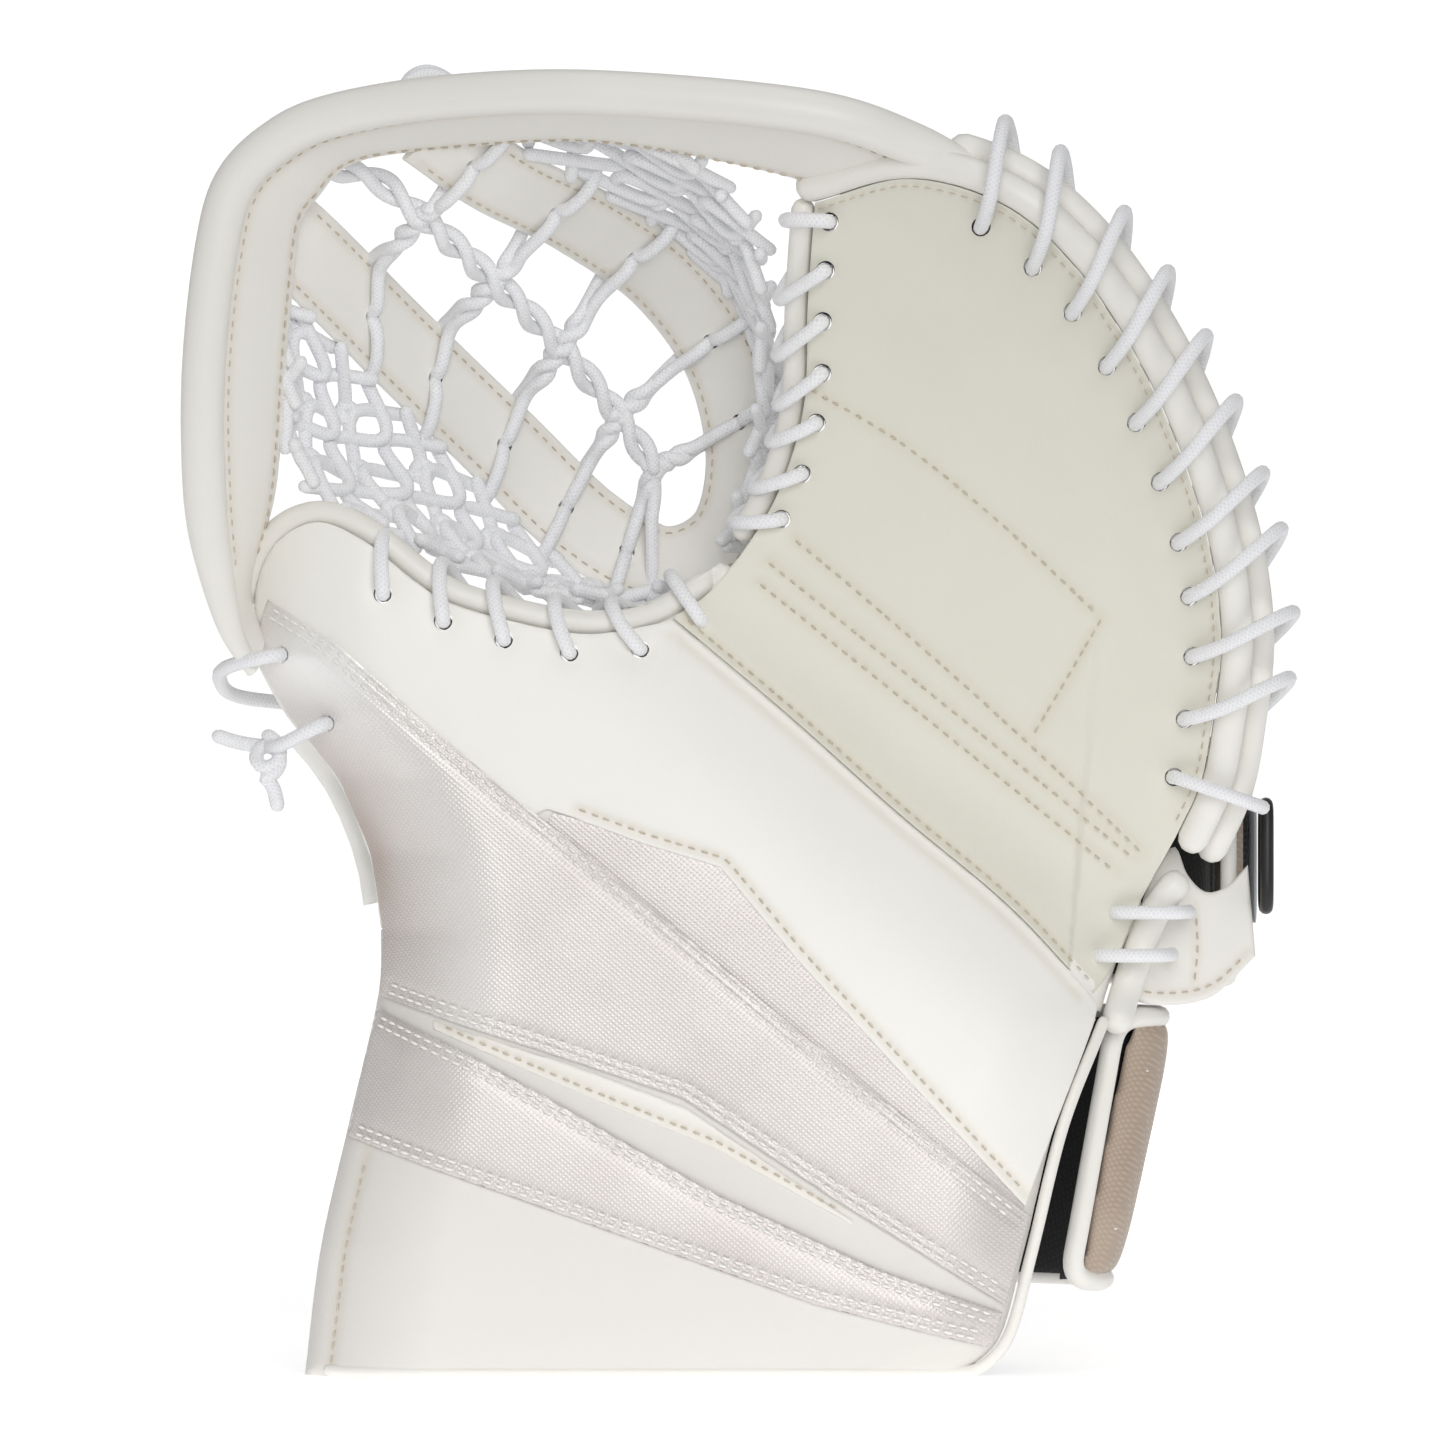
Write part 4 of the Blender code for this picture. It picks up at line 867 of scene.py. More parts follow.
rimOutline = fingerRim + fingerHeel[-2:0:-1]
outside = edgePlaces(rimOutline, 60, 0.0)
frontRoll = rollRoute(outside, 0.0052, 0.0012)
backRoll = rollRoute(outside[9:], 0.0124, 0.0122)
settle(cordPiece("finger_roll_front", [frontRoll], 0.0050, 0.0025, 14), rollLeather, "fingers",
       ["finger_front_roll"], "white_leather")
settle(cordPiece("finger_roll_back", [backRoll], 0.0050, 0.0025, 14), rollLeather, "fingers",
       ["finger_back_roll"], "white_leather")
rollSeam = onFace(insetCurve(rimOutline, 0.0022, 90), 0.0016)
settle(stitchPiece("roll_stitching", [rollSeam], outward, 0.0024, 0.0042, 0.00032), tanThread, "fingers",
       slot="white_leather")
fingerLoops = [(-rimInset, 0.017, 0), (-rimInset, -0.0030, 0), (-rimInset + 0.003, -0.0064, -0.05),
               (0.0020, -0.0083, -0.22), (0.0110, -0.0076, -0.46), (0.0188, -0.0004, -0.64),
               (0.0216, 0.0100, -0.66), (0.0190, 0.0200, -0.46), (0.0100, 0.0270, 0.0),
               (-0.003, 0.0240, 0.60)]
rimPlaces = edgePlaces(fingerRim[2:] + fingerHeel[-2:0:-1], 11, rimInset, 0.0, 0.93)
settle(cordPiece("finger_lace", [laceRoute(rimPlaces, fingerLoops, rimInset)], palm["lace"]), laceCord,
       "fingers", ["finger_edge_lace"], "nylon_lace")
pocketRoll = rollRoute(edgePlaces(fingerPocket, 24, 0.0, 0.02, 0.98), 0.0034, 0.0040)
settle(cordPiece("pocket_roll", [pocketRoll], 0.0038, 0.0025, 14), rollLeather, "fingers",
       ["finger_pocket_roll"], "white_leather")
pocketLoops = [(-pocketInset, 0.017, 0), (-pocketInset, -0.0030, 0), (-pocketInset + 0.0016, -0.0052, -0.10),
               (0.0010, -0.0056, -0.30), (0.0072, -0.0014, -0.60), (0.0088, 0.0080, -0.60),
               (0.0050, 0.0165, -0.05), (-0.002, 0.0190, 0.60)]
pocketPlaces = edgePlaces(fingerPocket, 7, pocketInset, 0.10, 0.95)
settle(cordPiece("pocket_lace", [laceRoute(pocketPlaces, pocketLoops, pocketInset)], palm["lace"]), laceCord,
       "fingers", ["finger_pocket_lace"], "nylon_lace")
heelOutline = (heelRight + [(0.1335, 0.1575)])[::-1]
heelRoute = rollRoute(edgePlaces(heelOutline, 12, 0.0), 0.0056, 0.0026)
settle(cordPiece("heel_binding", [heelRoute], 0.0049, 0.0025, 14), rollLeather, "palm", ["heel_roll"],
       "white_leather")
bindingPlaces = edgePlaces(cuffRight[::-1], 16, -0.0024, 0.0, 1.0)
bindingRoute = [(x, float(palmDepth(x - o[0] * 0.003, z)) + 0.0012, max(z, 0.0022)) for (x, z),
                o in bindingPlaces]
bindingRoute += [(x, float(palmDepth(x, 0.002)) + 0.0012, 0.0022) for x in np.linspace(0.058, -0.128, 16)]
settle(cordPiece("cuff_binding", [bindingRoute], 0.0019, 0.0018, 10), rollLeather, "palm", ["cuff_piping"],
       "white_leather")

# the corner lace: through rim, thumb and back, knotted, with its short end
x1, z1, x2, z2 = *cornerHoles[0], *cornerHoles[1]
y1, y2 = float(palmDepth(x1, z1)), float(palmDepth(x2, z2))
cornerRoute = [(x1 + 0.004, y1 + 0.044, z1 - 0.004), (x1, y1 + 0.024, z1), (x1, y1 - 0.0062, z1),
               (x1 - 0.006, y1 - 0.0096, z1 - 0.001), (x1 - 0.0175, y1 + 0.002, z1 - 0.004),
               (x1 - 0.0200, y1 + 0.020, z1 - 0.008), (x1 - 0.0150, y1 + 0.038, z1 - 0.013),
               (x2 - 0.004, y2 + 0.047, z2 + 0.005), (x2, y2 + 0.034, z2), (x2, y2 + 0.010, z2),
               (x2, y2 - 0.0066, z2), (x2 - 0.005, y2 - 0.0100, z2 - 0.002),
               (x2 - 0.015, y2 - 0.004, z2 - 0.007), (x2 - 0.021, y2 + 0.006, z2 - 0.007),
               (x2 - 0.028, y2 + 0.004, z2 - 0.006), (x2 - 0.034, y2 + 0.001, z2 - 0.004)]
knotAt = np.array((x2 - 0.0185, y2 + 0.001, z2 - 0.0085))
turn = np.linspace(0, 2 * math.pi * 1.6, 26)
knotRoute = [knotAt + (0.0042 * math.sin(t), 0.0030 * math.cos(t) - 0.001,
                       0.0046 * math.cos(t) - 0.0012 * t / 3) for t in turn]
knotRoute += [knotAt + (0.0015, -0.003, -0.010), knotAt + (0.003, -0.002, -0.017)]
settle(cordPiece("corner_lace", [cornerRoute, knotRoute], palm["lace"]), laceCord, "palm",
       ["thumb_corner_lace"], "nylon_lace")

# ---- rim: one padded roll with a flat inner band, from the fingertips over the corner to the thumb
print("rim")
rim = {
    "front": [(0.090, -0.066, 0.362), (0.076, -0.072, 0.375), (0.055, -0.080, 0.386),
              (0.022, -0.088, 0.3950), (-0.043, -0.080, 0.4010), (-0.090, -0.064, 0.401),
              (-0.128, -0.053, 0.3955), (-0.147, -0.048, 0.387), (-0.160, -0.045, 0.373),
              (-0.166, -0.042, 0.352), (-0.170, -0.036, 0.320), (-0.171, -0.028, 0.290),
              (-0.169, -0.018, 0.262), (-0.160, -0.008, 0.234), (-0.152, -0.003, 0.220)],
    "back": [(0.080, -0.052, 0.350), (0.062, -0.048, 0.358), (0.040, -0.044, 0.366), (0.010, -0.044, 0.376),
             (-0.043, -0.042, 0.3855), (-0.090, -0.030, 0.384), (-0.119, -0.024, 0.380),
             (-0.131, -0.017, 0.369), (-0.136, -0.014, 0.362), (-0.138, -0.012, 0.350),
             (-0.141, -0.006, 0.320), (-0.143, 0.000, 0.295), (-0.146, 0.006, 0.274), (-0.154, 0.012, 0.250),
             (-0.150, 0.008, 0.232)],
    "roll": 0.0068, "band": 0.0028, "cornerBend": 0.030,
}
rimCount = 170


def pairedCurves(front, back, count):  # both edges through matching points, sampled together
    both = np.hstack([np.array(front), np.array(back)])
    fine = bendThrough(both)
    run = np.concatenate([[0], np.cumsum(np.linalg.norm(np.diff(fine[:, :3], axis=0), axis=1))])
    at = np.linspace(0, run[-1], count)
    whole = np.stack([np.interp(at, run, fine[:, k]) for k in range(6)], axis=1)
    return whole[:, :3], whole[:, 3:]


rimFront, rimBack = pairedCurves(rim["front"], rim["back"], rimCount)


def rimFrame(i):
    after, before = min(i + 1, rimCount - 1), max(i - 1, 0)
    run = rimFront[after] + rimBack[after] - rimFront[before] - rimBack[before]
    wide = rimBack[i] - rimFront[i]
    width = np.linalg.norm(wide)
    wide = wide / width
    normal = np.cross(run, wide)
    return wide, width, normal / np.linalg.norm(normal)


rimRings, innerSeam, innerEdge, innerOut = [], [], [], []
for i in range(rimCount):
    wide, width, normal = rimFrame(i)
    start = 0.45 + 0.55 * math.sin(min(1.0, i / 22) * math.pi / 2)  # the roll thins towards both of its ends
    end = 0.35 + 0.65 * math.sin(min(1.0, (rimCount - 1 - i) / 26) * math.pi / 2)
    roll = rim["roll"] * min(1.0, start, end)
    far = np.sin(np.linspace(-math.pi / 2, math.pi / 2, 22)) * 0.5 + 0.5
    across = np.concatenate([np.linspace(0, 1, 13)[:-1] ** 1.5 * 2 * roll,
                             2 * roll + far * (width - 2 * roll)])
    bulge = np.sqrt(np.maximum(0.0, roll**2 - (across - roll) ** 2))
    bandShare = np.clip((across - 1.5 * roll) / (width - 1.5 * roll), 0, 1)
    flat = rim["band"] * (0.75 + 0.25
                          * np.sin(math.pi * bandShare)) * np.sqrt(np.maximum(0, 1 - bandShare**14))
    flat = np.where(across > 1.5 * roll, flat, 0)
    half = np.maximum(bulge, flat)
    upper = rimFront[i] + across[:, None] * wide + half[:, None] * normal
    lower = rimFront[i] + across[:, None] * wide - half[:, None] * normal
    rimRings.append(np.vstack([upper, lower[-2:0:-1]]))
    innerSeam.append(rimFront[i] + wide * (2 * roll + 0.0018) + normal * rim["band"] * 0.85)
    innerEdge.append(rimFront[i] + wide * (width - 0.0040) + normal * rim["band"] * 0.9)
    innerOut.append(normal)
rimPiece = meshPiece("rim", [loftSkin(rimRings)], 70)
markSeams(rimPiece, [innerSeam[8:-12:3], innerEdge[10:-12:3]], 0.0018, 0.0)
settle(rimPiece, rollLeather, slot="white_leather", stands=["rim_top", "rim_corner", "rim_left"], fill=0.85,
       bend=rim["cornerBend"])
settle(stitchPiece("rim_stitching", [innerSeam[6:-10:2], innerEdge[12:-10:2]],
                   [np.array(innerOut[6:-10:2]), np.array(innerOut[12:-10:2])], 0.0025, 0.0043, 0.00033),
       tanThread, slot="white_leather", bend=rim["cornerBend"])

# ---- pocket: the U strap, its slot web and the two side webs
print("pocket")
tee = {
    "route": [(-0.1430, -0.0075, 0.3600), (-0.1315, 0.001, 0.3495), (-0.105, 0.030, 0.323),
              (-0.075, 0.050, 0.294), (-0.048, 0.056, 0.268), (-0.024, 0.056, 0.2555),
              (-0.004, 0.054, 0.265), (0.0025, 0.052, 0.290), (-0.004, 0.048, 0.320), (-0.022, 0.034, 0.345),
              (-0.047, 0.010, 0.362), (-0.073, -0.018, 0.374), (-0.094, -0.034, 0.388)],
    "width": 0.0285, "thickness": 0.0034, "bend": 0.045, "seamInset": 0.0034,
}
teeLine = smoothRun(tee["route"], 0.0022)
teeRun = np.gradient(teeLine, axis=0)
teeSide = np.cross(teeRun, np.array(palm["pocketCentre"]) - teeLine)
teeSide /= np.linalg.norm(teeSide, axis=1)[:, None]
teeOut = np.cross(teeSide, teeRun)
teeOut /= np.linalg.norm(teeOut, axis=1)[:, None]  # towards the pocket's middle


def slabProfile(width, thickness, power=8, half=8):  # (across, out) places round a soft flat section
    s = np.sin(np.linspace(-math.pi / 2, math.pi / 2, 2 * half + 1))
    rise = np.sqrt(np.maximum(0, 1 - np.abs(s) ** power)) * thickness / 2
    top = np.stack([s * width / 2, rise], axis=1)
    return np.vstack([top, np.stack([s * width / 2, -rise], axis=1)[-2:0:-1]])


profile = slabProfile(tee["width"], tee["thickness"])
teeRings = [line + profile[:, :1] * side + profile[:, 1:] * out for line, side,
            out in zip(teeLine, teeSide, teeOut)]
teePiece = meshPiece("pocket_strap", [loftSkin(teeRings)], 70)
teeReach = tee["width"] / 2 - tee["seamInset"]
teeSeams = [teeLine + teeSide * s * teeReach + teeOut * tee["thickness"] / 2 for s in (-1, 1)]
markSeams(teePiece, [seamRun[::3] for seamRun in teeSeams], 0.0018, 0.0)
teePiece.data.materials.append(rollLeather)


def nearTee(x, z, low, high):  # the strap's own place nearest to (x, z), between two shares of its run
    first, last = int(low * len(teeLine)), int(high * len(teeLine))
    apart = np.hypot(teeLine[first:last, 0] - x, teeLine[first:last, 2] - z)
    return first + int(apart.argmin())


nodes = [(-0.1130, 0.3750), (-0.0989, 0.3636), (-0.0766, 0.3444), (-0.0558, 0.3243), (-0.0375, 0.3029),
         (-0.0264, 0.2864)]
lowArm = [nearTee(x, z, 0, 0.5) for x,
          z in ((-0.1181, 0.3311), (-0.0973, 0.3125), (-0.0775, 0.2917), (-0.0567, 0.2709),
                (-0.0360, 0.2560))]
highArm = [nearTee(x, z, 0.5, 1.0) for x, z in ((-0.0775, 0.3850), (-0.0552, 0.3695), (-0.0350, 0.3488),
                                                (-0.0136, 0.3243), (0.0000, 0.2998))]
for i in lowArm + highArm:
    bpy.ops.object.select_all(action="DESELECT")
    bpy.ops.mesh.primitive_cylinder_add(vertices=14, radius=0.0026, depth=0.012, location=teeLine[i])
    cutter = bpy.context.active_object
    cutter.rotation_mode = "QUATERNION"
    cutter.rotation_quaternion = Vector(teeOut[i]).to_track_quat("Z", "Y")
    carve(teePiece, cutter)
settle(teePiece, None, slot="white_leather", stands=["tee_strap"], bend=tee["bend"])
settle(stitchPiece("strap_stitching", [list(seamRun[3:-3:2]) for seamRun in teeSeams],
                   [teeOut[3:-3:2], teeOut[3:-3:2]], 0.0024, 0.0042, 0.00033), tanThread,
       slot="white_leather", bend=tee["bend"])

cord = 0.0022
centre = np.array(palm["pocketCentre"])


def twisted(line, turns, spread, phase=0.0):  # two cords that wind round each other along a line
    line = np.asarray(line, float)
    run = np.gradient(line, axis=0)
    run /= np.linalg.norm(run, axis=1)[:, None]
    back = line - centre
    side = np.cross(run, back)
    side /= np.linalg.norm(side, axis=1)[:, None]
    up = np.cross(side, run)
    t = np.linspace(0, 2 * math.pi * turns, len(line))[:, None] + phase
    both = []
    for sign in (1, -1):
        both.append(line + sign * (np.sin(t) * side * spread + np.cos(t) * up * spread * 0.80))
    return both


slotRoutes = []
nodePlaces = []
for n, (x, z) in enumerate(nodes):
    i, j = lowArm[min(max(n - 1, 0), 4)], highArm[min(max(n - 1, 0), 4)]
    a, b = teeLine[i], teeLine[j]
    dx, dz = b[0] - a[0], b[2] - a[2]
    share = np.clip(((x - a[0]) * dx + (z - a[2]) * dz) / max(1e-9, dx**2 + dz**2), 0, 1)
    y = a[1] + (b[1] - a[1]) * share - 0.002
    nodePlaces.append(np.array((x, y, z)))
chain = [np.array((-0.1280, -0.016, 0.3790))] + nodePlaces
chainLine = smoothRun(chain, 0.0012)
slotRoutes += twisted(chainLine, 5.5, cord * 1.24)
for n in range(1, 6):
    node = nodePlaces[n]
    for arm, sign in ((lowArm, 1), (highArm, -1)):
        i = arm[n - 1]
        hole, out = teeLine[i], teeOut[i]
        inward = node - hole
        inward -= out * (inward @ out)
        inward /= np.linalg.norm(inward)
        lip = hole + inward * (tee["width"] / 2 + 0.001)
        over = lip + out * (cord + 0.0026)
        part = node + (over - node) * 0.52
        strands = twisted(smoothRun([node, node + (part - node) * 0.5 + (0, 0.0004, 0), part], 0.0012), 0.9,
                          cord * 1.12, 0.6 * n + sign)
        top, low = strands
        slotRoutes.append(np.vstack([top[::2],
                                     [part + (over - part) * 0.5, over,
                                      hole + inward * 0.004 + out * (cord + 0.0022),
                                      hole + inward * 0.0008 + out * 0.0022, hole - out * 0.004]]))
        under = lip - out * (cord + 0.0012)
        slotRoutes.append(np.vstack([low[::2],
                                     [part + (under - part) * 0.55 + inward * 0.001, under - inward * 0.002,
                                      hole + inward * 0.003 - out * (cord + 0.0024)]]))
        # the same cord comes out of the hole again and crosses the outer half of the strap
        edge = hole - inward * (tee["width"] / 2 + 0.0012)
        slotRoutes.append([hole - out * 0.004, hole - inward * 0.0012 + out * 0.0020,
                           hole - inward * 0.0050 + out * (cord + 0.0021), edge + out * (cord + 0.0016),
                           edge - inward * 0.004 + out * 0.0004])
last = nodePlaces[5]
foot = nearTee(-0.0260, 0.2570, 0.3, 0.6)
slotRoutes.append([last, last + (0.0005, 0.002, -0.009),
                   teeLine[foot] + (0, 0, 0.0135) + teeOut[foot] * 0.0048,
                   teeLine[foot] + (0, 0, 0.004) + teeOut[foot] * 0.0044,
                   teeLine[foot] - (0, 0, 0.0150) + teeOut[foot] * 0.0030])
settle(cordPiece("slot_web", slotRoutes, cord, 0.0015, 9), laceCord, slot="nylon_lace", stands=["slot_net"],
       bend=tee["bend"])


def knotRoutes(place, size, twist):  # a loose overhand lump where cords meet
    t = np.linspace(0, 2 * math.pi, 22)
    away = (place - centre) / np.linalg.norm(place - centre)
    side = np.cross(away, (0, 0, 1.0))
    side /= np.linalg.norm(side)
    up = np.cross(side, away)
    ring = [place + size * (math.cos(a + twist) * side + math.sin(a + twist) * up) + away * size * 0.55
            * math.sin(2 * a) for a in t]
    return [ring]


def webBetween(edgeA, edgeB, rows, sag, seed):
    # diamond mesh between two edges: cords run down in pairs that cross and knot at each meeting
    draw = np.random.default_rng(seed)
    count = len(edgeA)
    grid = np.zeros((rows, count, 3))
    for r in range(rows):
        share = r / (rows - 1)
        line = edgeA * (1 - share) + edgeB * share
        away = line - centre
        away /= np.linalg.norm(away, axis=1)[:, None]
        grid[r] = line + away * sag * math.sin(math.pi * share)
        if 0 < r < rows - 1:
            grid[r] += draw.uniform(-0.0022, 0.0022, grid[r].shape)
    routes = []
    for first in (0, 1):
        for c in range(count):
            route = []
            for r in range(rows):
                k = min(max(c + (r % 2) * (1 - 2 * first), 0), count - 1)
                lift = cord * 0.9 * (1 if (r + c + first) % 2 else -1)
                away = (grid[r, k] - centre) / np.linalg.norm(grid[r, k] - centre)
                route.append(grid[r, k] + away * lift)
            routes.append(route)
    for r in range(1, rows - 1):
        for c in range(count):
            if (r + c) % 2 == 0:
                routes += knotRoutes(grid[r, c], cord * 1.35, draw.uniform(0, 3))
    return routes


outer = [teeLine[i] + teeSide[i] * (tee["width"] / 2 + 0.001) for i in range(len(teeLine))]
inner = [teeLine[i] - teeSide[i] * (tee["width"] / 2 + 0.001) for i in range(len(teeLine))]
if outer[len(outer) // 2][2] > inner[len(inner) // 2][2]:
    outer, inner = inner, outer
thumbSide = smoothCurve([(-0.138, -0.006, 0.318), (-0.140, -0.002, 0.292), (-0.128, -0.003, 0.274),
                         (-0.108, 0.002, 0.265), (-0.082, 0.007, 0.254), (-0.052, 0.014, 0.246),
                         (-0.024, 0.020, 0.247)], 13)
lowOuter = resample(np.array(outer[4:int(0.50 * len(outer))]), np.linspace(0, 1, 13))
settle(cordPiece("thumb_web", webBetween(thumbSide, lowOuter, 5, 0.006, 3), cord, 0.0016, 9), laceCord,
       "palm", ["thumb_net"], "nylon_lace")
fingerSide = smoothCurve([(-0.004, 0.034, 0.262), (0.004, 0.030, 0.286), (0.008, 0.020, 0.310),
                          (0.009, 0.003, 0.336), (0.007, -0.018, 0.358), (-0.012, -0.042, 0.378)], 11)
highOuter = resample(np.array(outer[int(0.52 * len(outer)):-3]), np.linspace(0, 1, 11))
settle(cordPiece("finger_web", webBetween(fingerSide, highOuter, 5, 0.008, 8), cord * 0.96, 0.0016, 9),
       laceCord, "fingers", ["finger_net"], "nylon_lace")
rimKnot = [(-0.108, -0.033, 0.398), (-0.098, -0.026, 0.407), (-0.088, -0.022, 0.404), (-0.094, -0.016, 0.398),
           (-0.104, -0.018, 0.403), (-0.096, -0.013, 0.409), (-0.084, -0.014, 0.401)]
settle(cordPiece("rim_tie", [rimKnot], palm["lace"]), laceCord, "fingers", ["rim_knot"], "nylon_lace")

# ---- wrist guard, back-hand pad, straps
print("wrist and hand")
wrist = {"centre": (0.045, 0.052), "radii": (0.064, 0.082, 0.036), "low": 0.028, "high": 0.112}
hand = {"centre": (0.068, 0.055), "radii": (0.082, 0.082, 0.038), "low": 0.124, "high": 0.196}


def wrapPiece(name, oval, low, high, start, thickness, span, power=6, count=70):
    # a padded strip bent round an upright oval, start outside it
    section = slabProfile(high - low, thickness, power, 12)
    rings = []
    for angle in np.radians(np.linspace(span[0], span[1], count)):
        share = (angle - math.radians(span[0])) / math.radians(span[1] - span[0])
        end = min(1.0, min(share, 1 - share) * count / 4 + 0.35)
        z = (low + high) / 2 + section[:, 0]
        rise = np.clip((z - oval["low"]) / (oval["high"] - oval["low"]), 0, 1)
        rx = oval["radii"][0] * (1 - rise) + oval["radii"][1] * rise
        out = start + thickness / 2 + section[:, 1] * end
        rings.append(np.stack([oval["centre"][0] + (rx + out) * math.cos(angle),
                               oval["centre"][1] + (oval["radii"][2] + out) * math.sin(angle), z], axis=1))
    return meshPiece(name, [loftSkin(rings)], 70)


def wrapLine(oval, z, out, first, last, count=40):
    angle = np.radians(np.linspace(first, last, count))
    rise = np.clip((z - oval["low"]) / (oval["high"] - oval["low"]), 0, 1)
    rx = oval["radii"][0] * (1 - rise) + oval["radii"][1] * rise
    return np.stack([oval["centre"][0] + (rx + out) * np.cos(angle),
                     oval["centre"][1] + (oval["radii"][2] + out) * np.sin(angle), np.full(count, z)], axis=1)


def wrapStitches(name, oval, heights, out, span, thread, body, slot, length=0.0026, pitch=0.0044, count=50):
    # rows of stitches round an oval, at these heights
    angle = np.radians(np.linspace(*span, count))
    outs = np.stack([np.cos(angle), np.sin(angle), np.zeros(count)], axis=1)
    rows = [wrapLine(oval, z, out, *span, count) for z in heights]
    settle(stitchPiece(name, rows, [outs] * len(rows), length, pitch, 0.0004), thread, body, slot=slot)


wristPad = wrapPiece("wrist_guard_pad", wrist, 0.0285, 0.1115, 0.0036, 0.0085, (-29, 159), 5, 80)
puffUp(wristPad, 0.0032, 3.0, 0.0022)
settle(wristPad, taupeCloth, "wrist_guard", ["wrist_pad"], "taupe_nylon", 0.8)
settle(wrapPiece("wrist_guard_lining", wrist, 0.029, 0.111, 0.0, 0.003, (-29.5, 159.5), 8), liningCloth,
       "wrist_guard", ["wrist_pad_lining"], "black_lining", 0.3)
pipeMiddle = 0.0034 + 0.0045
topPipe = wrapLine(wrist, 0.1118, pipeMiddle, -30, 159, 60)
lowPipe = wrapLine(wrist, 0.0285, pipeMiddle, 159, -30, 60)
frontUp = np.array([wrapLine(wrist, z, pipeMiddle, -33.5, -33.5, 2)[0]
                    for z in np.linspace(0.032, 0.108, 12)])
settle(cordPiece("wrist_guard_piping", [np.vstack([lowPipe[::3], frontUp, topPipe[::3]])], 0.0034, 0.0024,
                 12), rollLeather, "wrist_guard", ["wrist_pad_piping"], "white_leather")
wrapStitches("wrist_guard_stitching", wrist, (0.0450, 0.0950), 0.0036 + 0.0085, (-22, 150), whiteThread,
             "wrist_guard", "taupe_nylon", pitch=0.0045, count=60)


def bandPiece(name, line, up, thickness, finish, body, stands, slot):  # a flat strap that runs along a line
    line = smoothRun(line, 0.003)
    up = np.array(up, float)
    run = np.gradient(line, axis=0)
    run /= np.linalg.norm(run, axis=1)[:, None]
    side = up / np.linalg.norm(up)
    section = slabProfile(2 * np.linalg.norm(up), thickness, 10, 7)
    rings = []
    for place, way in zip(line, run):
        out = np.cross(way, side)
        out /= np.linalg.norm(out)
        rings.append(place + section[:, :1] * side + section[:, 1:] * out)
    return settle(meshPiece(name, [loftSkin(rings)], 70), finish, body, stands, slot)


bandPiece("wrist_tab", [(-0.048, 0.0125, 0.072), (-0.046, 0.030, 0.072), (-0.040, 0.058, 0.072)],
          (0, 0, 0.026), 0.003, rollLeather, "palm", ["wrist_pad_tab"], "white_leather")
handPad = wrapPiece("back_hand_pad", hand, 0.1245, 0.1955, 0.0031, 0.0078, (-3, 139), 5, 70)
puffUp(handPad, 0.0032, 3.0, 0.0018)
settle(handPad, taupeCloth, "palm", ["hand_pad"], "taupe_nylon", 0.8)
settle(wrapPiece("back_hand_lining", hand, 0.1245, 0.1955, 0.0, 0.0025, (-3.5, 139.5), 8), liningCloth,
       "palm", ["hand_pad_lining"], "black_lining", 0.3)
handMiddle = 0.0029 + 0.004
handTop = wrapLine(hand, 0.1962, handMiddle, -3, 139, 50)
handLow = wrapLine(hand, 0.1238, handMiddle, 139, -3, 50)
handFront = np.array([wrapLine(hand, z, handMiddle, -5.5, -5.5, 2)[0] for z in np.linspace(0.128, 0.192, 10)])
settle(cordPiece("back_hand_piping", [np.vstack([handLow[::3], handFront, handTop[::3]])], 0.0026, 0.0024,
                 12), rollLeather, "palm", slot="white_leather")
bandPiece("hand_tab", [(0.015, 0.0215, 0.168), (0.014, 0.048, 0.168), (0.010, 0.076, 0.168)], (0, 0, 0.018),
          0.003, rollLeather, "palm", ["hand_pad_tab"], "white_leather")
strapStart = 0.0029 + 0.008 + 0.0008
settle(wrapPiece("hook_loop_strap", hand, 0.1412, 0.1808, strapStart, 0.0026, (5, 118), 12), strapWeb,
       "strap", ["hand_strap"], "black_webbing")
settle(wrapPiece("strap_pull_end", hand, 0.1414, 0.1806, strapStart + 0.0030, 0.0022, (4.3, 25.7), 8, 18),
       greyPlastic, "strap", ["strap_pull_tab"], "stiffener_board")
wrapStitches("strap_edge_stitching", hand, (0.1442, 0.1778), strapStart + 0.0027, (28, 116), strapWeb,
             "strap", "black_webbing")
settle(wrapPiece("strap_anchor_tab", hand, 0.1384, 0.1836, strapStart, 0.004, (121.3, 136.7), 8, 12),
       rollLeather, "palm", ["strap_anchor"], "white_leather")
wrapStitches("anchor_stitching", hand, (0.1425, 0.1795), strapStart + 0.0042, (122.5, 135.5), whiteThread,
             "palm", "white_leather", 0.0024, 0.0038, 10)

# the moulded keeper: a wire-thin loop, spun round and flattened
keeper = {"place": (0.1680, 0.0440, 0.163), "round": 0.009, "wide": 0.0085, "tall": 0.0165, "wire": 0.0021}
bpy.ops.object.select_all(action="DESELECT")
bpy.ops.mesh.primitive_torus_add(major_segments=48, minor_segments=12, major_radius=keeper["round"],
                                 minor_radius=keeper["wire"], location=(0, 0, 0),
                                 rotation=(0, math.pi / 2, 0))
ring = bpy.context.active_object
ring.name = ring.data.name = "strap_loop"
bpy.ops.object.transform_apply(location=True, rotation=True, scale=True)
place = coordsOf(ring)
angle = np.arctan2(place[:, 2], place[:, 1])
corner = [np.sign(w) * np.abs(w) ** 0.45 - w
          for w in (np.cos(angle), np.sin(angle))]  # squares the round loop
stretch = [keeper[side] - keeper["round"] for side in ("wide", "tall")]
spread = [w * s + c * (keeper["round"] + s) for w, s,
          c in zip((np.cos(angle), np.sin(angle)), stretch, corner)]
setCoords(ring, place + np.stack([np.zeros(len(place)), *spread], axis=1) + keeper["place"])
tidyNormals(ring)
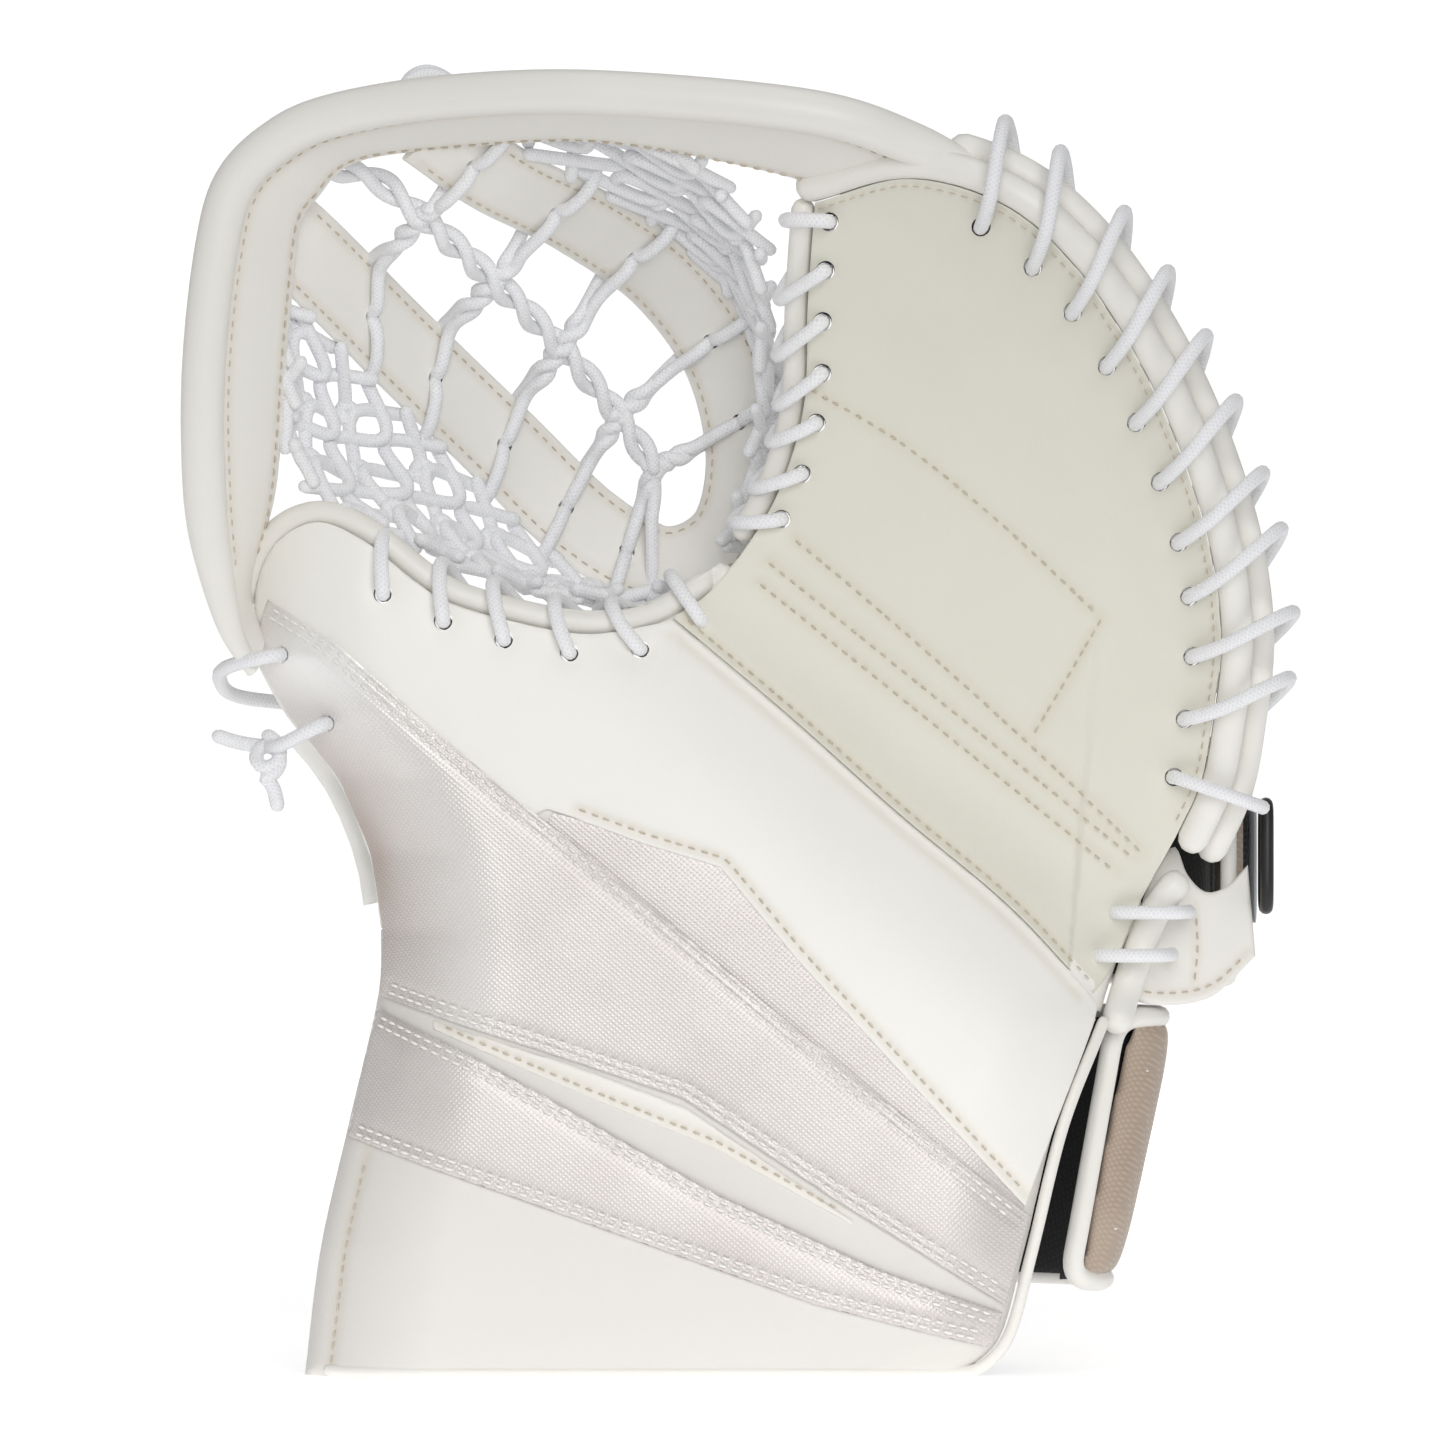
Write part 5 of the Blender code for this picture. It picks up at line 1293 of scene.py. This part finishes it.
settle(ring, blackPlastic, "keeper", ["strap_keeper"], "black_plastic")

# ---- the wing at the heel, with the notch that lets the strap out
print("wing")
wing = {"low": [(0.1190, 0.1210), (0.1310, 0.1160), (0.1500, 0.1180), (0.1650, 0.1310)],
        "high": [(0.1310, 0.1560), (0.1385, 0.1660), (0.1430, 0.1570), (0.1490, 0.1515), (0.1560, 0.1535),
                 (0.1625, 0.1600)]}


def wingDepth(x, z, u=0, v=0):
    return 0.034 + 0.4 * np.maximum(0.0, np.asarray(x) - 0.130)


wingLow, wingHigh = bendThrough(wing["low"]), bendThrough(wing["high"])
flap = layPanel("wing_leather",
                (wingLow, wingHigh, np.array([wingLow[0], wingHigh[0]]),
                 np.array([wingLow[-1], wingHigh[-1]])), 0.0014, wingDepth, 0.003, 0.0013)


def onWing(places):
    return [(x, float(wingDepth(x, z)) - 0.0001, z) for x, z in places]


wingRows = [onWing(np.array(wingLow[4:-4:8]) + (0, 0.0038)),
            onWing([(0.1452, 0.1230), (0.1462, 0.1340), (0.1455, 0.1475)])]
markSeams(flap, wingRows, 0.0016, 0.0003)
settle(flap, rollLeather, "palm", ["wing_flap"], "white_leather")
settle(stitchPiece("wing_stitching", wingRows, outward, 0.0024, 0.0042, 0.00032), tanThread, "palm",
       slot="white_leather")
for name, z, first in (("upper", 0.1455, 0.1200), ("lower", 0.1320, 0.1145)):
    face = float(palmDepth(first, z))
    route = [(first - 0.0015, face + 0.003, z), (first, face - 0.0036, z), (first + 0.006, face - 0.0062, z),
             (first + 0.0125, face - 0.0074, z), (first + 0.0195, face - 0.0042, z),
             (first + 0.0222, face + 0.0040, z), (first + 0.0230, face + 0.0115, z)]
    settle(cordPiece("wing_tie_" + name, [route], palm["lace"]), laceCord, "palm", ["wing_lace_" + name],
           "nylon_lace")

# ---- backs, stalls and linings behind the palm
print("backs")
fingerGrid = fillPatch(np.array(edgePair), bendThrough(fingerRim),
                       bendThrough([edgePair[0]] + fingerPocket[1:]),
                       bendThrough([edgePair[1]] + fingerHeel[1:]), np.linspace(0, 1, 14),
                       np.linspace(0, 1, 10))
thumbBreak = smoothCurve([tuple(thumbBottom[-1])] + heelRight[1:] + breakLine + [thumbTop[-1]], thumbRows)
thumbGrid = fillPatch(thumbBottom, smoothCurve(thumbTop, thumbColumns),
                      smoothCurve([tuple(thumbBottom[0])] + thumbLeft[1:], thumbRows), thumbBreak,
                      np.linspace(0, 1, thumbColumns), np.linspace(0, 1, thumbRows))


def sidesOf(grid):
    return grid[0], grid[-1], grid[:, 0], grid[:, -1]


def fingerDome(u, v):
    return (1 - v**2.5) * (1 - np.abs(2 * u - 1) ** 4)


def thumbDome(u, v):
    return (1 - v**3) * (1 - (1 - u) ** 3)


backStart = palm["pad"] + palm["board"]


def backDepth(dome, start, rise,
              channels=0):  # behind the palm, lifted by a dome, quilted between the fingers
    def depth(x, z, u, v):
        quilt = 0.0
        if channels:
            quilt = 0.0020 * np.abs(np.sin(math.pi * u * channels)) ** 0.6 * (1 - v**6) - 0.0010
        return palmDepth(x, z) + start + rise * dome(u, v) + quilt
    return depth


fingerInner = fingerGrid[1:-2, 2:-3]
fingerBack = layPanel("finger_back", sidesOf(fingerInner), 0.0026,
                      backDepth(fingerDome, backStart + 0.0008, palm["handRoom"], 4), palm["shell"], 0.0028,
                      0.0, 0.3)
settle(fingerBack, whiteLeather, "fingers", ["finger_back_shell"], "white_leather", 0.7)
settle(layPanel("finger_lining", sidesOf(fingerInner[:-2, 2:-2]), 0.004, faceDepth(backStart + 0.0008),
                0.0018, 0.0007), liningCloth, "fingers", ["finger_liner"], "black_lining", 0.3)
for number, column in enumerate((2, 4, 6), start=1):
    low, high = [], []
    rows, columns = fingerInner.shape[:2]
    for r in range(rows - 3):
        x, z = fingerInner[r, column]
        wayX, wayZ = fingerInner[r, column + 1] - fingerInner[r, column]
        base = float(palmDepth(x, z)) + backStart + 0.0008 + 0.0030
        middle = np.array((x, base, z)) + np.array((wayX, 0, wayZ)) / math.hypot(wayX, wayZ) * 0.0008
        low.append(middle)
        high.append(middle + (0, palm["handRoom"]
                              * float(fingerDome(column / (columns - 1), r / (rows - 1))) - 0.0060, 0))
    low, high = smoothCurve(low, 24), smoothCurve(high, 24)
    section = slabProfile(1.0, 0.0016, 6, 8)
    rings = []
    for a, b in zip(low, high):
        wall = b - a
        across = np.array((1.0, 0.0, 0.75)) / 1.25
        rings.append((a + b) / 2 + section[:, :1] * wall + section[:, 1:] * across)
    settle(meshPiece(f"finger_stall_{number}", [loftSkin(rings)], 70), liningCloth, "fingers",
           [f"finger_divider_{number}"], "black_lining", 0.2)
thumbBackGrid = thumbGrid[1:-3, :8] - np.array((0.005, 0.003))
thumbBack = layPanel("thumb_back", sidesOf(thumbBackGrid), 0.0026,
                     backDepth(thumbDome, backStart + 0.0016, palm["handRoom"]), palm["shell"], 0.0028, 0.0,
                     0.3)
punchHoles(thumbBack, whiteLeather, [(x, float(palmDepth(x, z)) + 0.030, z) for x, z in cornerHoles],
           depth=0.06)
settle(thumbBack, None, "palm", ["thumb_back_shell"], "white_leather", 0.7)
settle(layPanel("thumb_lining", sidesOf(thumbBackGrid[2:-1, 2:]), 0.004,
                backDepth(thumbDome, backStart + 0.0032, palm["handRoom"] - 0.014), 0.002, 0.0008),
       liningCloth, "palm", ["thumb_stall"], "black_lining", 0.3)
settle(layPanel("hand_lining", sidesOf(thumbGrid[2:-3, 9:-2]), 0.004, faceDepth(backStart + 0.0008), 0.0018,
                0.0007), liningCloth, "palm", ["palm_liner"], "black_lining", 0.3)
settle(layPanel("forearm_lining",
                (bendThrough([cuffLeft[0], (-0.070, 0.0), cuffRight[0]]), bendThrough(cuffSeam),
                 bendThrough(cuffLeft), bendThrough(cuffRight)), 0.004, faceDepth(backStart + 0.0008),
                0.0075, 0.0030, ease=0.4), liningCloth, "palm", ["cuff_lining"], "black_lining", 0.7)
for node in ("cuff_board", "thumb_board", "finger_board"):
    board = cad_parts[node]
    board.data.materials.clear()
    board.data.materials.append(greyPlastic)

# ---- camera, light and floor
print("camera and light")
view = {"centre": (-0.005, -0.035, 0.2058), "wide": 0.447, "lens": 260, "sensor": 36}
camera = bpy.data.cameras.new("camera")
camera.lens, camera.sensor_width = view["lens"], view["sensor"]
away = view["wide"] * view["lens"] / view["sensor"]
camera.clip_start, camera.clip_end = 0.1, 30
holder = bpy.data.objects.new("camera", camera)
holder.location = (view["centre"][0], view["centre"][1] - away, view["centre"][2])
holder.rotation_euler = (math.pi / 2, 0, 0)
bpy.context.scene.collection.objects.link(holder)
bpy.context.scene.camera = holder

studio = {"key": 28, "fill": 3, "top": 4, "back": 30, "sky": 0.29, "paper": 0.66}
for name, power, size, spot, aim in (
        ("key", studio["key"], 1.4, (0.3, -2.4, 0.8), (0, 0, 0.22)),
        ("fill", studio["fill"], 1.8, (-1.6, -1.3, 0.6), (0, 0, 0.2)),
        ("top", studio["top"], 1.4, (0.1, -0.2, 1.9), (0, 0, 0.2)),
        ("back", studio["back"], 2.4, (0, 1.6, 1.9), (0, 4.0, 0.4))):
    lamp = bpy.data.lights.new(name, "AREA")
    lamp.energy, lamp.size = power, size
    stand = bpy.data.objects.new(name, lamp)
    stand.location = spot
    stand.rotation_euler = (Vector(aim) - Vector(spot)).to_track_quat("-Z", "Y").to_euler()
    bpy.context.scene.collection.objects.link(stand)
world = bpy.data.worlds.new("sky")
world.use_nodes = True
world.node_tree.nodes["Background"].inputs["Color"].default_value = (1, 1, 1, 1)
world.node_tree.nodes["Background"].inputs["Strength"].default_value = studio["sky"]
bpy.context.scene.world = world
bpy.context.scene.view_settings.view_transform = "Standard"

sweep = {"side": 8, "front": -0.30, "wall": 4, "bend": 1.0}  # the paper: its front edge, wall and bend
bpy.ops.object.select_all(action="DESELECT")
bpy.ops.mesh.primitive_plane_add(size=sweep["side"], location=(0, sweep["front"] + sweep["side"] / 2, 0))
floor = bpy.context.active_object
floor.name = "floor"
bpy.ops.object.transform_apply(location=True)
bpy.ops.object.mode_set(mode="EDIT")
bpy.ops.mesh.select_all(action="DESELECT")
bpy.ops.object.mode_set(mode="OBJECT")
for edge in floor.data.edges:
    if all(floor.data.vertices[v].co.y > sweep["side"] / 2 for v in edge.vertices):
        edge.select = True
bpy.ops.object.mode_set(mode="EDIT")
bpy.ops.mesh.select_mode(type="EDGE")
bpy.ops.mesh.extrude_region_move(TRANSFORM_OT_translate={"value": (0, 0, sweep["wall"])})
bpy.ops.object.mode_set(mode="OBJECT")
applyModifier(floor, "BEVEL", width=sweep["bend"], segments=12, affect="EDGES")
bpy.ops.object.shade_smooth()
paper = newFinish("mattePaperWhite", Roughness=0.9)[0]
sheet = paper.node_tree.nodes["Principled BSDF"]
sheet.inputs["Base Color"].default_value = toLinear("#DADADA")
sheet.inputs["Emission Color"].default_value = (1, 1, 1,
                                                1)  # lit from behind, so it stays white round the glove
sheet.inputs["Emission Strength"].default_value = studio["paper"]
floor.data.materials.append(paper)
floor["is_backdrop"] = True

low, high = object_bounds()
{"cad": [list(cadLow), list(cadHigh)], "visual": [list(low), list(high)]}
